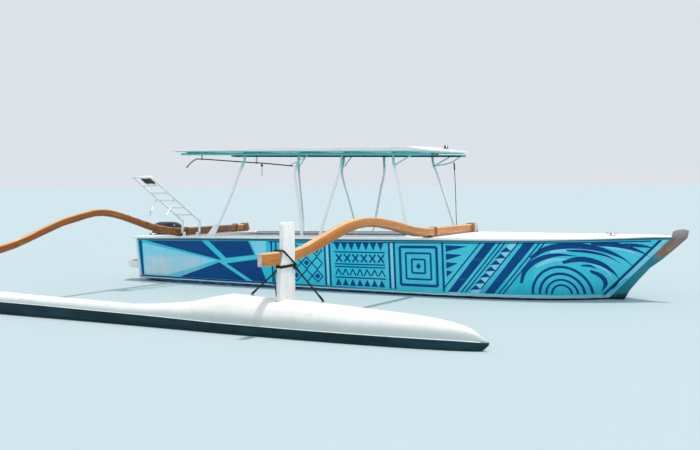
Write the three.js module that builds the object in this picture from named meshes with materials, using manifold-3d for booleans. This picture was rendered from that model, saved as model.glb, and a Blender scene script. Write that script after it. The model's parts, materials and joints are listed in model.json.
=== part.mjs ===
// Motorised outrigger canoe. Millimetres, X to the bow, Y to port, Z up.
// The origin is on the waterline, amidships on the main hull's centre plane.
// The float (ama) lies to starboard, at negative Y.
import * as THREE from 'three';
import { mergeVertices } from 'three/addons/utils/BufferGeometryUtils.js';
import Module from 'manifold-3d';

const wasm = await Module();
wasm.setup();

// Main sizes
const DECK_T = 36;
const DECK_T_BOW = 16;
const SKIN = 20;
const GAP = 0.4;
const FRONT_BOOM_X = 1000;
const REAR_BOOM_X = -3390;
const BOOM_W = 80;
const AMA_Y = -4715;
const STERN_X = -4290;
const DECK_AFT_END = -4386;
const COCKPIT_AFT = -2950;
const COCKPIT_FORE = 940;
const SIDE_DECK_W = 170;
const RAIL_Y = 700;
const RAIL_R = 17;
const WELL_HALF = 400;
const WELL_FRONT = -3660;
const BOARD_AFT = -4170;
const BOARD_FORE = -4120;
const TILT = [-4150, 0, 455];
const STEER_X = -4275;
const PROP_Z = -330;
const LADDER_AXIS = [0, -885, 815];
const LADDER_X = [-3310, -2970];

// Materials
const FINISH = {
  hull: ['#3fb4bc', 0.42, 0],
  white: ['#eef0ee', 0.38, 0],
  inner: ['#dfe4e8', 0.5, 0],
  grey: ['#8f9498', 0.45, 0.7],
  steel: ['#c9ccce', 0.3, 0.9],
  wood: ['#c98a45', 0.45, 0],
  stem: ['#2f8f96', 0.6, 0],
  dark: ['#16262c', 0.45, 0],
  motor: ['#23272b', 0.3, 0],
  rope: ['#1c1d1f', 0.8, 0],
  lamp: ['#33373a', 0.3, 0],
};

const group = new THREE.Group();
group.name = 'outrigger_canoe';

function signedVolume(geometry) {
  const p = geometry.attributes.position;
  const index = geometry.index;
  const a = new THREE.Vector3();
  const b = new THREE.Vector3();
  const c = new THREE.Vector3();
  let v = 0;
  for (let i = 0; i < index.count; i += 3) {
    a.fromBufferAttribute(p, index.getX(i));
    b.fromBufferAttribute(p, index.getX(i + 1));
    c.fromBufferAttribute(p, index.getX(i + 2));
    v += a.dot(b.cross(c)) / 6;
  }
  return v;
}

// Points only, welded, with every face turned outwards
function welded(geometry) {
  const g = new THREE.BufferGeometry();
  g.setAttribute('position', geometry.attributes.position.clone());
  if (geometry.index) g.setIndex(geometry.index.clone());
  const m = mergeVertices(g, 1e-3);
  const keep = [];
  const idx = m.index.array;
  for (let i = 0; i < idx.length; i += 3) {
    const [a, b, c] = [idx[i], idx[i + 1], idx[i + 2]];
    if (a !== b && b !== c && a !== c) keep.push(a, b, c);
  }
  m.setIndex(keep);
  if (signedVolume(m) < 0) {
    for (let i = 0; i < keep.length; i += 3) {
      [keep[i + 1], keep[i + 2]] = [keep[i + 2], keep[i + 1]];
    }
    m.setIndex(keep);
  }
  return m;
}

function add(name, geometry, finish) {
  const [color, roughness, metalness] = FINISH[finish];
  const flat = welded(geometry).toNonIndexed();
  flat.computeVertexNormals();
  const material = new THREE.MeshStandardMaterial({ color, roughness, metalness });
  material.name = name;
  const mesh = new THREE.Mesh(flat, material);
  mesh.name = name;
  group.add(mesh);
  return mesh;
}

// Booleans
function toManifold(geometry) {
  const g = welded(geometry);
  return new wasm.Manifold(new wasm.Mesh({
    numProp: 3,
    vertProperties: new Float32Array(g.attributes.position.array),
    triVerts: new Uint32Array(g.index.array),
  }));
}

function fromManifold(solid) {
  const mesh = solid.getMesh();
  const g = new THREE.BufferGeometry();
  const points = new Float32Array(mesh.vertProperties);
  g.setAttribute('position', new THREE.BufferAttribute(points, 3));
  g.setIndex(new THREE.BufferAttribute(new Uint32Array(mesh.triVerts), 1));
  return g;
}

function union(parts) {
  let out = toManifold(parts[0]);
  for (const part of parts.slice(1)) out = out.add(toManifold(part));
  return fromManifold(out);
}

function cut(base, tools) {
  let out = toManifold(base);
  for (const tool of tools) out = out.subtract(toManifold(tool));
  return fromManifold(out);
}

// Shapes
function box(x0, x1, y0, y1, z0, z1) {
  const g = new THREE.BoxGeometry(x1 - x0, y1 - y0, z1 - z0);
  g.translate((x0 + x1) / 2, (y0 + y1) / 2, (z0 + z1) / 2);
  return g;
}

// A closed tube surface through rings of equal length, with flat ends
function loft(rings) {
  const n = rings[0].length;
  const points = [];
  const index = [];
  for (const ring of rings) for (const p of ring) points.push(...p);
  for (let i = 0; i < rings.length - 1; i += 1) {
    for (let j = 0; j < n; j += 1) {
      const a = i * n + j;
      const b = i * n + ((j + 1) % n);
      index.push(a, b, b + n, a, b + n, a + n);
    }
  }
  const last = (rings.length - 1) * n;
  const ends = [[rings[0], 0, true], [rings[rings.length - 1], last, false]];
  for (const [ring, offset, reverse] of ends) {
    const centre = [0, 1, 2].map((k) => ring.reduce((s, p) => s + p[k], 0) / n);
    const c = points.length / 3;
    points.push(...centre);
    for (let j = 0; j < n; j += 1) {
      const a = offset + j;
      const b = offset + ((j + 1) % n);
      if (reverse) index.push(c, b, a);
      else index.push(c, a, b);
    }
  }
  const g = new THREE.BufferGeometry();
  g.setAttribute('position', new THREE.Float32BufferAttribute(points, 3));
  g.setIndex(index);
  return g;
}

// A plate whose edges, underside and top follow functions of X (and of Y)
function slab(xs, m, y0, y1, zBottom, zTop) {
  const points = [];
  const index = [];
  const row = 2 * (m + 1);
  for (const x of xs) {
    for (const level of [zBottom, zTop]) {
      for (let j = 0; j <= m; j += 1) {
        const y = y0(x) + ((y1(x) - y0(x)) * j) / m;
        points.push(x, y, level(x, y));
      }
    }
  }
  const at = (i, level, j) => i * row + level * (m + 1) + j;
  const quad = (a, b, c, d) => index.push(a, b, c, a, c, d);
  for (let i = 0; i < xs.length - 1; i += 1) {
    for (let j = 0; j < m; j += 1) {
      quad(at(i, 1, j), at(i + 1, 1, j), at(i + 1, 1, j + 1), at(i, 1, j + 1));
      quad(at(i, 0, j), at(i, 0, j + 1), at(i + 1, 0, j + 1), at(i + 1, 0, j));
    }
    quad(at(i, 0, 0), at(i + 1, 0, 0), at(i + 1, 1, 0), at(i, 1, 0));
    quad(at(i, 0, m), at(i, 1, m), at(i + 1, 1, m), at(i + 1, 0, m));
  }
  const n = xs.length - 1;
  for (let j = 0; j < m; j += 1) {
    quad(at(0, 0, j), at(0, 1, j), at(0, 1, j + 1), at(0, 0, j + 1));
    quad(at(n, 0, j), at(n, 0, j + 1), at(n, 1, j + 1), at(n, 1, j));
  }
  const g = new THREE.BufferGeometry();
  g.setAttribute('position', new THREE.Float32BufferAttribute(points, 3));
  g.setIndex(index);
  return g;
}

function steps(a, b, n) {
  return Array.from({ length: n + 1 }, (unused, i) => a + ((b - a) * i) / n);
}

// A flat outline with a thickness, standing in the X Z plane or the Y Z plane
function outline(points, depth, bevel = 0) {
  const shape = new THREE.Shape(points.map(([a, b]) => new THREE.Vector2(a, b)));
  return new THREE.ExtrudeGeometry(shape, {
    depth: depth - 2 * bevel,
    bevelEnabled: bevel > 0,
    bevelThickness: bevel,
    bevelSize: bevel,
    bevelOffset: -bevel,
    bevelSegments: 1,
    curveSegments: 8,
  });
}

function plateXZ(points, y0, y1, bevel = 0) {
  const g = outline(points, y1 - y0, bevel);
  g.translate(0, 0, bevel);
  g.rotateX(Math.PI / 2);
  g.translate(0, y1, 0);
  return g;
}

function plateYZ(points, x0, x1, bevel = 0) {
  const g = outline(points, x1 - x0, bevel);
  g.translate(0, 0, bevel);
  g.rotateX(Math.PI / 2);
  g.rotateZ(Math.PI / 2);
  g.translate(x0, 0, 0);
  return g;
}

function rod(a, b, radius, sides = 12) {
  const from = new THREE.Vector3(...a);
  const to = new THREE.Vector3(...b);
  const along = to.clone().sub(from);
  const g = new THREE.CylinderGeometry(radius, radius, along.length(), sides);
  const turn = new THREE.Quaternion();
  turn.setFromUnitVectors(new THREE.Vector3(0, 1, 0), along.clone().normalize());
  g.applyQuaternion(turn);
  const mid = from.add(to).multiplyScalar(0.5);
  g.translate(mid.x, mid.y, mid.z);
  return g;
}

// A tube bent along points
function bent(points, radius, sides = 10, stepsAlong = 14, tension = 0.5) {
  const list = points.map((p) => new THREE.Vector3(...p));
  const path = new THREE.CatmullRomCurve3(list, false, 'catmullrom', tension);
  const shape = new THREE.Shape();
  for (let i = 0; i < sides; i += 1) {
    const t = (2 * Math.PI * i) / sides;
    const [x, y] = [radius * Math.cos(t), radius * Math.sin(t)];
    if (i === 0) shape.moveTo(x, y);
    else shape.lineTo(x, y);
  }
  shape.closePath();
  return new THREE.ExtrudeGeometry(shape, { steps: stepsAlong, extrudePath: path, bevelEnabled: false });
}

// A smooth curve through table rows [x, value]
function curve(rows) {
  return (x) => {
    if (x <= rows[0][0]) return rows[0][1];
    const last = rows.length - 1;
    if (x >= rows[last][0]) return rows[last][1];
    let i = 0;
    while (x > rows[i + 1][0]) i += 1;
    const p = (k) => rows[Math.min(Math.max(k, 0), last)];
    const [a, b] = [p(i), p(i + 1)];
    const slope = (l, r) => (r[0] === l[0] ? 0 : (r[1] - l[1]) / (r[0] - l[0]));
    const h = b[0] - a[0];
    const t = (x - a[0]) / h;
    const m0 = slope(p(i - 1), b) * h;
    const m1 = slope(a, p(i + 2)) * h;
    const [t2, t3] = [t * t, t * t * t];
    return (2 * t3 - 3 * t2 + 1) * a[1] + (t3 - 2 * t2 + t) * m0
      + (-2 * t3 + 3 * t2) * b[1] + (t3 - t2) * m1;
  };
}

// Hull lines. Columns: along (0 aft, 1 fore), sheer x, sheer half beam, sheer z,
// chine x, chine half beam, chine z, keel z
const LINES = [
  [0.00, -4290, 835, 700, -4270, 775, 50, -40],
  [0.09, -3650, 872, 720, -3600, 805, 8, -100],
  [0.22, -2500, 898, 744, -2480, 825, -48, -170],
  [0.36, -1200, 907, 767, -1200, 834, -85, -215],
  [0.50, 0, 910, 784, -20, 838, -100, -235],
  [0.62, 1000, 906, 800, 930, 826, -104, -240],
  [0.72, 1850, 872, 808, 1640, 776, -105, -238],
  [0.80, 2500, 786, 819, 2150, 684, -105, -234],
  [0.87, 3080, 620, 833, 2580, 540, -108, -228],
  [0.93, 3580, 390, 848, 2900, 350, -112, -220],
  [0.97, 3900, 205, 860, 3070, 190, -116, -212],
  [1.00, 4140, 58, 858, 3190, 54, -120, -200],
];
const column = (k) => curve(LINES.map((row) => [row[0], row[k]]));
const [sheerX, sheerY, sheerZ] = [column(1), column(2), column(3)];
const [chineX, chineY, chineZ, keelZ] = [column(4), column(5), column(6), column(7)];
const ALONG = [...steps(0, 0.62, 13), ...steps(0.62, 1, 14).slice(1)];

// The sheer as a function of X, for the decks
const bySheer = (k) => {
  const rows = ALONG.map((t) => [sheerX(t), column(k)(t)]);
  return (x) => {
    let i = 0;
    while (i < rows.length - 2 && x > rows[i + 1][0]) i += 1;
    const [a, b] = [rows[i], rows[i + 1]];
    return a[1] + ((b[1] - a[1]) * (x - a[0])) / (b[0] - a[0]);
  };
};
const beamAt = bySheer(2);
const deckZ = bySheer(3);

// The keel continues the rake of the transom aft and ends a little short of the chine fore
const keelX = (t) => chineX(t) + 2.8 - 22.8 * t;

// One section of the hull: sheer, side, chine, bottom and keel, from port to starboard
function section(t, inset) {
  const half = [
    [sheerX(t), sheerY(t) - inset, sheerZ(t)],
    [(sheerX(t) + chineX(t)) / 2, (sheerY(t) + chineY(t)) / 2 - inset, (sheerZ(t) + chineZ(t)) / 2],
    [chineX(t), chineY(t) - inset * 1.1, chineZ(t) + inset * 0.9],
    [(chineX(t) + keelX(t)) / 2, (chineY(t) - inset * 1.1) / 2, (chineZ(t) + keelZ(t)) / 2 + inset],
  ];
  const keel = [keelX(t), 0, keelZ(t) + inset];
  const mirrored = half.slice().reverse().map(([x, y, z]) => [x, -y, z]);
  return [...half, keel, ...mirrored];
}

function hullShell() {
  const outer = ALONG.map((t) => section(t, 0));
  const inner = ALONG.map((t) => section(t, SKIN));
  const m = outer[0].length;
  const points = [];
  for (const grid of [outer, inner]) for (const row of grid) for (const p of row) points.push(...p);
  const index = [];
  const n = outer.length;
  const at = (g, i, j) => g * n * m + i * m + j;
  const quad = (a, b, c, d) => index.push(a, b, c, a, c, d);
  for (let i = 0; i < n - 1; i += 1) {
    for (let j = 0; j < m - 1; j += 1) {
      quad(at(0, i, j), at(0, i, j + 1), at(0, i + 1, j + 1), at(0, i + 1, j));
      quad(at(1, i, j), at(1, i + 1, j), at(1, i + 1, j + 1), at(1, i, j + 1));
    }
    quad(at(0, i, 0), at(0, i + 1, 0), at(1, i + 1, 0), at(1, i, 0));
    quad(at(0, i, m - 1), at(1, i, m - 1), at(1, i + 1, m - 1), at(0, i + 1, m - 1));
  }
  for (let j = 0; j < m - 1; j += 1) {
    quad(at(0, 0, j), at(1, 0, j), at(1, 0, j + 1), at(0, 0, j + 1));
    quad(at(0, n - 1, j), at(0, n - 1, j + 1), at(1, n - 1, j + 1), at(1, n - 1, j));
  }
  const g = new THREE.BufferGeometry();
  g.setAttribute('position', new THREE.Float32BufferAttribute(points, 3));
  g.setIndex(index);
  return g;
}

const WELL_WALL = 20;
const wellOut = WELL_HALF + WELL_WALL;
const wellCut = box(-4600, BOARD_FORE + 0.5, -wellOut - 0.5, wellOut + 0.5, -300, 900);
add('hull_shell', cut(hullShell(), [wellCut]), 'hull');

// Transom, one plate each side of the motor well
const TRANSOM_T = 34;
const [, , STERN_HALF, STERN_Z, CHINE_X, CHINE_HALF, CHINE_Z, KEEL_Z] = LINES[0];
const rakeAt = (z) => STERN_X + ((CHINE_X - STERN_X) * (STERN_Z - z)) / (STERN_Z - CHINE_Z);
const bottomAt = (y) => KEEL_Z + ((CHINE_Z - KEEL_Z) * y) / CHINE_HALF;
for (const [name, side] of [['transom_starboard', -1], ['transom_port', 1]]) {
  const top = STERN_Z - 2;
  const ring = [
    [WELL_HALF, top], [STERN_HALF + 6, top], [CHINE_HALF + 6, CHINE_Z - 4],
    [WELL_HALF, bottomAt(WELL_HALF) - 4],
  ];
  const faces = [-TRANSOM_T - GAP, -GAP];
  add(name, loft(faces.map((dx) => ring.map(([y, z]) => [rakeAt(z) + dx, side * y, z]))), 'white');
}

// Motor well: a moulded tray, and the board that carries the motor
const WELL_FLOOR_Z = 230;
const WELL_TOP_Z = 717;
const BOARD_FOOT_Z = -60;
const BOARD_TOP_Z = 400;
const wellSide = [
  [STERN_X + 8, STERN_Z - 1], [WELL_FRONT, WELL_TOP_Z + 1], [WELL_FRONT, WELL_FLOOR_Z],
  [BOARD_FORE + 1, WELL_FLOOR_Z], [BOARD_FORE + 1, 40], [BOARD_FORE - 0.6, 40], [BOARD_FORE - 0.6, 0],
  [CHINE_X + 30, 0],
];
add('motor_well', union([
  plateXZ(wellSide, -wellOut, -WELL_HALF),
  plateXZ(wellSide, WELL_HALF, wellOut),
  box(BOARD_FORE + GAP, WELL_FRONT, -WELL_HALF - 1, WELL_HALF + 1, WELL_FLOOR_Z, WELL_FLOOR_Z + WELL_WALL),
  box(WELL_FRONT - 1, WELL_FRONT + 18, -wellOut, wellOut, WELL_FLOOR_Z, WELL_TOP_Z),
]), 'white');
const inWell = WELL_HALF - GAP;
add('motor_board', box(BOARD_AFT, BOARD_FORE, -inWell, inWell, BOARD_FOOT_Z, BOARD_TOP_Z), 'white');

// Decks, each resting on the hull's top edge, with the white edge round the boat
const RIM = 12;
const deckBottom = (x) => deckZ(x) + GAP;
const BOW_X = LINES[LINES.length - 1][1];
const bowShare = (x) => Math.max(0, (x - COCKPIT_FORE) / (BOW_X - COCKPIT_FORE));
const deckT = (x) => DECK_T - (DECK_T - DECK_T_BOW) * bowShare(x);
const deckTop = (x) => deckZ(x) + deckT(x);
const edge = (x) => beamAt(x) + RIM;
const aftSlope = (deckZ(COCKPIT_AFT) - deckZ(DECK_AFT_END)) / (COCKPIT_AFT - DECK_AFT_END);
const aftLine = (x) => deckZ(DECK_AFT_END) + (x - DECK_AFT_END) * aftSlope;
const aftStations = ALONG.map(sheerX).filter((x) => x < COCKPIT_AFT);
const aftLift = Math.max(0, ...aftStations.map((x) => deckZ(x) - aftLine(x))) + GAP;
function aftDeck() {
  const xs = steps(DECK_AFT_END, COCKPIT_AFT - GAP, 5);
  const right = xs.map((x) => [x, -edge(x)]);
  const left = xs.slice().reverse().map((x) => [x, edge(x)]);
  const port = [[DECK_AFT_END, WELL_HALF], [WELL_FRONT, WELL_HALF]];
  const notch = [...port, ...port.slice().reverse().map(([x, y]) => [x, -y])];
  const g = outline([...right, ...left, ...notch], DECK_T - GAP);
  const p = g.attributes.position;
  for (let i = 0; i < p.count; i += 1) {
    p.setZ(i, p.getZ(i) + aftLine(p.getX(i)) + aftLift);
  }
  return g;
}
add('deck_aft', aftDeck(), 'white');
const sheerXs = (a, b) => [a, ...ALONG.map(sheerX).filter((x) => x > a + 1 && x < b - 1), b];
const foreXs = sheerXs(COCKPIT_FORE + GAP, BOW_X);
add('deck_fore', slab(foreXs, 4, (x) => -edge(x), edge, deckBottom, deckTop), 'white');
const sideXs = sheerXs(COCKPIT_AFT, COCKPIT_FORE);
const inside = (x) => beamAt(x) - SIDE_DECK_W;
const sideDeck = (y0, y1) => slab(sideXs, 1, y0, y1, deckBottom, deckTop);
add('side_deck_starboard', sideDeck((x) => -edge(x), (x) => -inside(x)), 'white');
add('side_deck_port', sideDeck(inside, edge), 'white');

// Stem: a wide raked timber, thinner at its leading edge. Rows: x, z, half width
const STEM = [
  [4143, 900, 58], [4160, 945, 56], [4215, 964, 48], [4284, 971, 40], [4350, 954, 33], [4325, 850, 27],
  [4196, 729, 24], [4005, 557, 24], [3850, 439, 24], [3707, 278, 24], [3589, 131, 24], [3510, -8, 24],
  [3420, -130, 26], [3260, -212, 30], [3192, -214, 54], [3193, -120, 54], [4142.6, 858, 60],
];
function stem() {
  const rings = [-1, 1].map((s) => STEM.map(([x, z, w]) => [x, s * w, z]));
  const shape = STEM.map(([x, z]) => new THREE.Vector2(x, z));
  const faces = THREE.ShapeUtils.triangulateShape(shape, []);
  const n = STEM.length;
  const index = [];
  for (const [a, b, c] of faces) index.push(a, c, b, a + n, b + n, c + n);
  for (let j = 0; j < n; j += 1) {
    const k = (j + 1) % n;
    index.push(j, j + n, k + n, j, k + n, k);
  }
  const g = new THREE.BufferGeometry();
  g.setAttribute('position', new THREE.Float32BufferAttribute(rings.flat(2), 3));
  g.setIndex(index);
  return g;
}
add('stem', stem(), 'stem');

// Keel strip under the bottom
const keelRows = ALONG.map((t) => [keelX(t), keelZ(t)]);
const keelAt = (x) => {
  let i = 0;
  while (i < keelRows.length - 2 && x > keelRows[i + 1][0]) i += 1;
  const [a, b] = [keelRows[i], keelRows[i + 1]];
  return a[1] + ((b[1] - a[1]) * (x - a[0])) / (b[0] - a[0]);
};
const KEEL_ENDS = [-4100, 3160];
const KEEL_HALF = 28;
const KEEL_DEPTH = 46;
const between = keelRows.map((row) => row[0]).filter((x) => x > KEEL_ENDS[0] + 10 && x < KEEL_ENDS[1] - 10);
const keelXs = [KEEL_ENDS[0], ...between, KEEL_ENDS[1]];
const keelFoot = (x) => keelAt(x) - KEEL_DEPTH;
add('keel', slab(keelXs, 1, () => -KEEL_HALF, () => KEEL_HALF, keelFoot, (x) => keelAt(x) - 0.5), 'hull');

// Inside the hull: bulkheads, floor and benches
const FLOOR_Z = 90;
const sectionAt = (x) => {
  let t = 0;
  while (t < 0.999 && (sheerX(t) + chineX(t)) / 2 < x) t += 0.001;
  return section(t, SKIN + 2);
};
const BULKHEAD_T = 18;
for (const [name, x0] of [['bulkhead_aft', COCKPIT_AFT - 22], ['bulkhead_fore', COCKPIT_FORE + 4]]) {
  const ring = sectionAt(x0 + BULKHEAD_T / 2).map(([, y, z]) => [y, z]);
  const top = deckZ(x0) - 3;
  ring[0][1] = top;
  ring[ring.length - 1][1] = top;
  const shape = ring.map(([y, z]) => [y * 0.994, z + 4 * (z < 300)]);
  add(name, plateYZ(shape, x0, x0 + BULKHEAD_T), 'inner');
}
const FLOOR_T = 18;
const FLOOR_HALF = 785;
const [floorX0, floorX1] = [COCKPIT_AFT + 2, COCKPIT_FORE + 2];
add('floor', box(floorX0, floorX1, -FLOOR_HALF, FLOOR_HALF, FLOOR_Z, FLOOR_Z + FLOOR_T), 'inner');
const BENCHES = [['bench_1', -2350], ['bench_2', -1400], ['bench_3', -450], ['bench_4', 420]];
const BENCH_HALF_X = 140;
const BENCH_HALF_Y = 795;
const BENCH_Z = 440;
const BENCH_T = 28;
const FRONT_HALF_Y = 775;
for (const [name, x] of BENCHES) {
  const [x0, x1] = [x - BENCH_HALF_X, x + BENCH_HALF_X];
  const top = box(x0, x1, -BENCH_HALF_Y, BENCH_HALF_Y, BENCH_Z, BENCH_Z + BENCH_T);
  const front = box(x + 90, x + 110, -FRONT_HALF_Y, FRONT_HALF_Y, FLOOR_Z + FLOOR_T + 0.5, BENCH_Z + 5);
  add(name, union([top, front]), 'inner');
}

// Outrigger booms. Rows: y, underside z, top z
const FRONT_BOOM = [
  [-5095, 748, 886], [-4920, 744, 886], [-4710, 740, 884], [-4475, 754, 884], [-4250, 796, 915],
  [-4030, 834, 968], [-3830, 878, 1018], [-3640, 922, 1066], [-3430, 972, 1113], [-3220, 1016, 1148],
  [-3000, 1048, 1170], [-2777, 1060, 1178], [-2550, 1052, 1172], [-2305, 1027, 1150], [-2050, 992, 1118],
  [-1805, 948, 1080], [-1550, 902, 1036], [-1300, 870, 1002], [-1050, 852, 978], [-830, 848, 968],
  [0, 848, 966], [925, 848, 962],
];
const REAR_BOOM = [
  [-5200, 682, 790], [-4950, 680, 788], [-4730, 690, 796], [-4520, 722, 826], [-4285, 770, 874],
  [-4070, 832, 932], [-3868, 896, 1000], [-3650, 962, 1068], [-3426, 1028, 1130], [-3250, 1062, 1166],
  [-3117, 1086, 1184], [-2950, 1120, 1218], [-2796, 1140, 1240], [-2630, 1142, 1242], [-2464, 1124, 1226],
  [-2290, 1090, 1190], [-2118, 1047, 1148], [-1940, 995, 1098], [-1750, 940, 1046], [-1572, 890, 1000],
  [-1380, 846, 958], [-1187, 806, 928], [-1000, 782, 906], [-850, 771, 892], [0, 771, 892], [1060, 771, 886],
];
const BOOMS = [['boom_front', FRONT_BOOM_X, FRONT_BOOM], ['boom_rear', REAR_BOOM_X, REAR_BOOM]];

// Posts that tie the booms to the float, let into the fore side of the booms.
// Columns: name, boom x, inboard y, then the outboard edge as [y, z] from the top to the foot
const POST_T = 54;
const POST_SET = 5;
const POST_ROUND = 34;
const BOOM_BEVEL = 16;
const POSTS = [
  ['post_front', FRONT_BOOM_X, -4505,
    [[-4730, 1190], [-4730, 880], [-4785, 715], [-4810, 385], [-4812, 260]]],
  ['post_rear', REAR_BOOM_X, -4630,
    [[-4838, 1100], [-4838, 790], [-4848, 625], [-4850, 295], [-4850, 205]]],
];
const postX = (x) => x + POST_SET;
function postShape([, , inner, outer], grow = 0) {
  const [[topY, topZ], ...side] = outer;
  const r = POST_ROUND;
  const c = r * (1 - Math.SQRT1_2);
  const foot = side[side.length - 1][1];
  return [
    [inner + grow, foot], [inner + grow, topZ - r], [inner + grow - c, topZ + grow - c],
    [inner - r, topZ + grow], [topY + r, topZ + grow], [topY - grow + c, topZ + grow - c],
    [topY - grow, topZ - r],
    ...side.map(([y, z]) => [y - grow, z]),
  ];
}
BOOMS.forEach(([name, x, rows], i) => {
  const under = rows.map(([y, z]) => [y, z]);
  const over = rows.slice().reverse().map(([y, , z]) => [y, z]);
  const whole = plateYZ([...under, ...over], x - BOOM_W / 2, x + BOOM_W / 2, BOOM_BEVEL);
  const slot = plateYZ(postShape(POSTS[i], GAP), postX(x) - GAP, postX(x) + POST_T + GAP);
  add(name, cut(whole, [slot]), 'wood');
});

// Float. Rows: x, top z, chine z, half width, bottom z
const AMA = [
  [-4350, 130, 110, 18, 84], [-4150, 172, 128, 70, -10], [-3850, 212, 148, 118, -75],
  [-3450, 250, 160, 150, -104], [-3165, 255, 163, 158, -112], [-2815, 243, 159, 166, -116],
  [-2300, 234, 150, 171, -120], [-1819, 229, 143, 175, -124], [-1350, 221, 137, 180, -127],
  [-1046, 217, 133, 184, -128], [-750, 234, 131, 192, -131], [-461, 262, 128, 202, -134],
  [-179, 294, 123, 212, -137], [-20, 326, 120, 218, -138], [120, 357, 117, 222, -139],
  [260, 384, 115, 226, -140], [400, 408, 112, 230, -142], [500, 404, 111, 231, -142],
  [882, 382, 110, 233, -142], [1206, 375, 109, 233, -142], [1496, 366, 108, 231, -140],
  [1963, 341, 105, 216, -134], [2410, 316, 104, 190, -120], [2626, 300, 103, 170, -112],
  [2837, 278, 102, 144, -98], [3045, 238, 99, 108, -72], [3147, 207, 95, 82, -50],
  [3228, 164, 90, 54, -20], [3290, 118, 86, 26, 20], [3330, 96, 85, 10, 60],
];
function amaHalf(upper, grow = 0) {
  const n = 10;
  return loft(AMA.map(([x, top, chine, half, bottom]) => {
    const ring = [];
    for (let j = 0; j <= n; j += 1) {
      const t = (Math.PI * j) / n;
      const c = Math.cos(t);
      const s = Math.sin(t);
      const y = Math.sign(c) * Math.abs(c) ** 0.8;
      if (upper) ring.push([x, AMA_Y + (half + grow) * y, chine + GAP + (top + grow - chine) * s ** 0.9]);
      else ring.push([x, AMA_Y - half * 0.985 * y, chine - (chine - bottom) * s ** 0.75]);
    }
    return ring;
  }));
}
add('ama_top', amaHalf(true), 'white');
add('ama_bottom', amaHalf(false), 'dark');

// Posts stand on the float's rounded top, which shapes their feet
for (const row of POSTS) {
  const x0 = postX(row[1]);
  add(row[0], cut(plateYZ(postShape(row), x0, x0 + POST_T, 4), [amaHalf(true, 1.2)]), 'white');
}

// Stays from the posts to the float: two at the front post, one at the rear post
const amaColumn = (k) => curve(AMA.map((row) => [row[0], row[k]]));
const [amaTop, amaChine, amaWidth] = [amaColumn(1), amaColumn(2), amaColumn(3)];
const amaSkin = (x, y) => {
  const c = Math.abs((y - AMA_Y) / amaWidth(x)) ** 1.25;
  return amaChine(x) + (amaTop(x) - amaChine(x)) * Math.sqrt(1 - c * c) ** 0.9;
};
// Columns: name, boom x, direction along x, start y, start z, reach along x
const STAY_R = 10;
const STAYS = [
  ['stay_front_fore', FRONT_BOOM_X, 1, -4520, 705, 420],
  ['stay_front_aft', FRONT_BOOM_X, -1, -4700, 712, 390],
  ['stay_rear_aft', REAR_BOOM_X, -1, -4750, 622, 390],
];
for (const [name, x, dx, y, z, reach] of STAYS) {
  const start = dx > 0 ? postX(x) + POST_T + STAY_R + 3 : postX(x) - STAY_R - 3;
  const end = start + dx * reach;
  const foot = AMA_Y + 60;
  add(name, rod([start, y, z], [end, foot, amaSkin(end, foot) + STAY_R + 6], STAY_R, 8), 'rope');
}

// Roof: a stiff panel with a flat underside that falls a little to the bow. Rows: x, thickness, half width
const ROOF = [
  [-3580, 10, 780], [-3520, 10, 800], [-3360, 17, 800], [-2860, 27, 800], [-2480, 31, 800], [-2190, 38, 800],
  [-2000, 51, 800], [-1780, 65, 800], [-1100, 60, 800], [-420, 58, 800], [240, 60, 800], [555, 65, 800],
  [680, 61, 800], [800, 40, 795], [940, 25, 770], [960, 20, 740],
];
const ROOF_AFT_Z = 2128;
const ROOF_SLOPE = 0.018;
const ROOF_ARCH = 14;
const roofUnder = (x) => ROOF_AFT_Z - ROOF_SLOPE * (x + 3540);
const roofThick = curve(ROOF.map((row) => [row[0], row[1]]));
const roofHalf = curve(ROOF.map((row) => [row[0], row[2]]));
const arch = (x, y) => ROOF_ARCH * (1 - (y / roofHalf(x)) ** 2);
const roofTop = (x, y) => roofUnder(x) + roofThick(x) + arch(x, y);
const roofXs = [...new Set([...ROOF.map((row) => row[0]), -2700, -1440, -760, -90, 400, 610, 750, 850])];
roofXs.sort((a, b) => a - b);
add('roof', slab(roofXs, 6, (x) => -roofHalf(x), roofHalf, roofUnder, roofTop), 'white');

// Roof frame: two long tubes, and cross bearers between them and the panel
const RAIL_DROP = 43;
const railZ = (x) => roofUnder(x) - RAIL_DROP;
const RAIL_ENDS = [-3450, 930];
for (const [name, side] of [['roof_rail_starboard', -1], ['roof_rail_port', 1]]) {
  const [a, b] = RAIL_ENDS.map((x) => [x, side * RAIL_Y, railZ(x)]);
  add(name, rod(a, b, RAIL_R, 12), 'white');
}
const BEARERS = [-3300, -2220, -1180, -420, 380];
const BEARER_HALF_X = 15;
const BEARER_HALF_Y = 750;
BEARERS.forEach((x, i) => {
  const low = (u) => railZ(u) + RAIL_R + 1;
  const high = (u) => roofUnder(u) - 0.8;
  const ends = [x - BEARER_HALF_X, x + BEARER_HALF_X];
  add(`roof_bearer_${i + 1}`, slab(ends, 1, () => -BEARER_HALF_Y, () => BEARER_HALF_Y, low, high), 'white');
});

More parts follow.
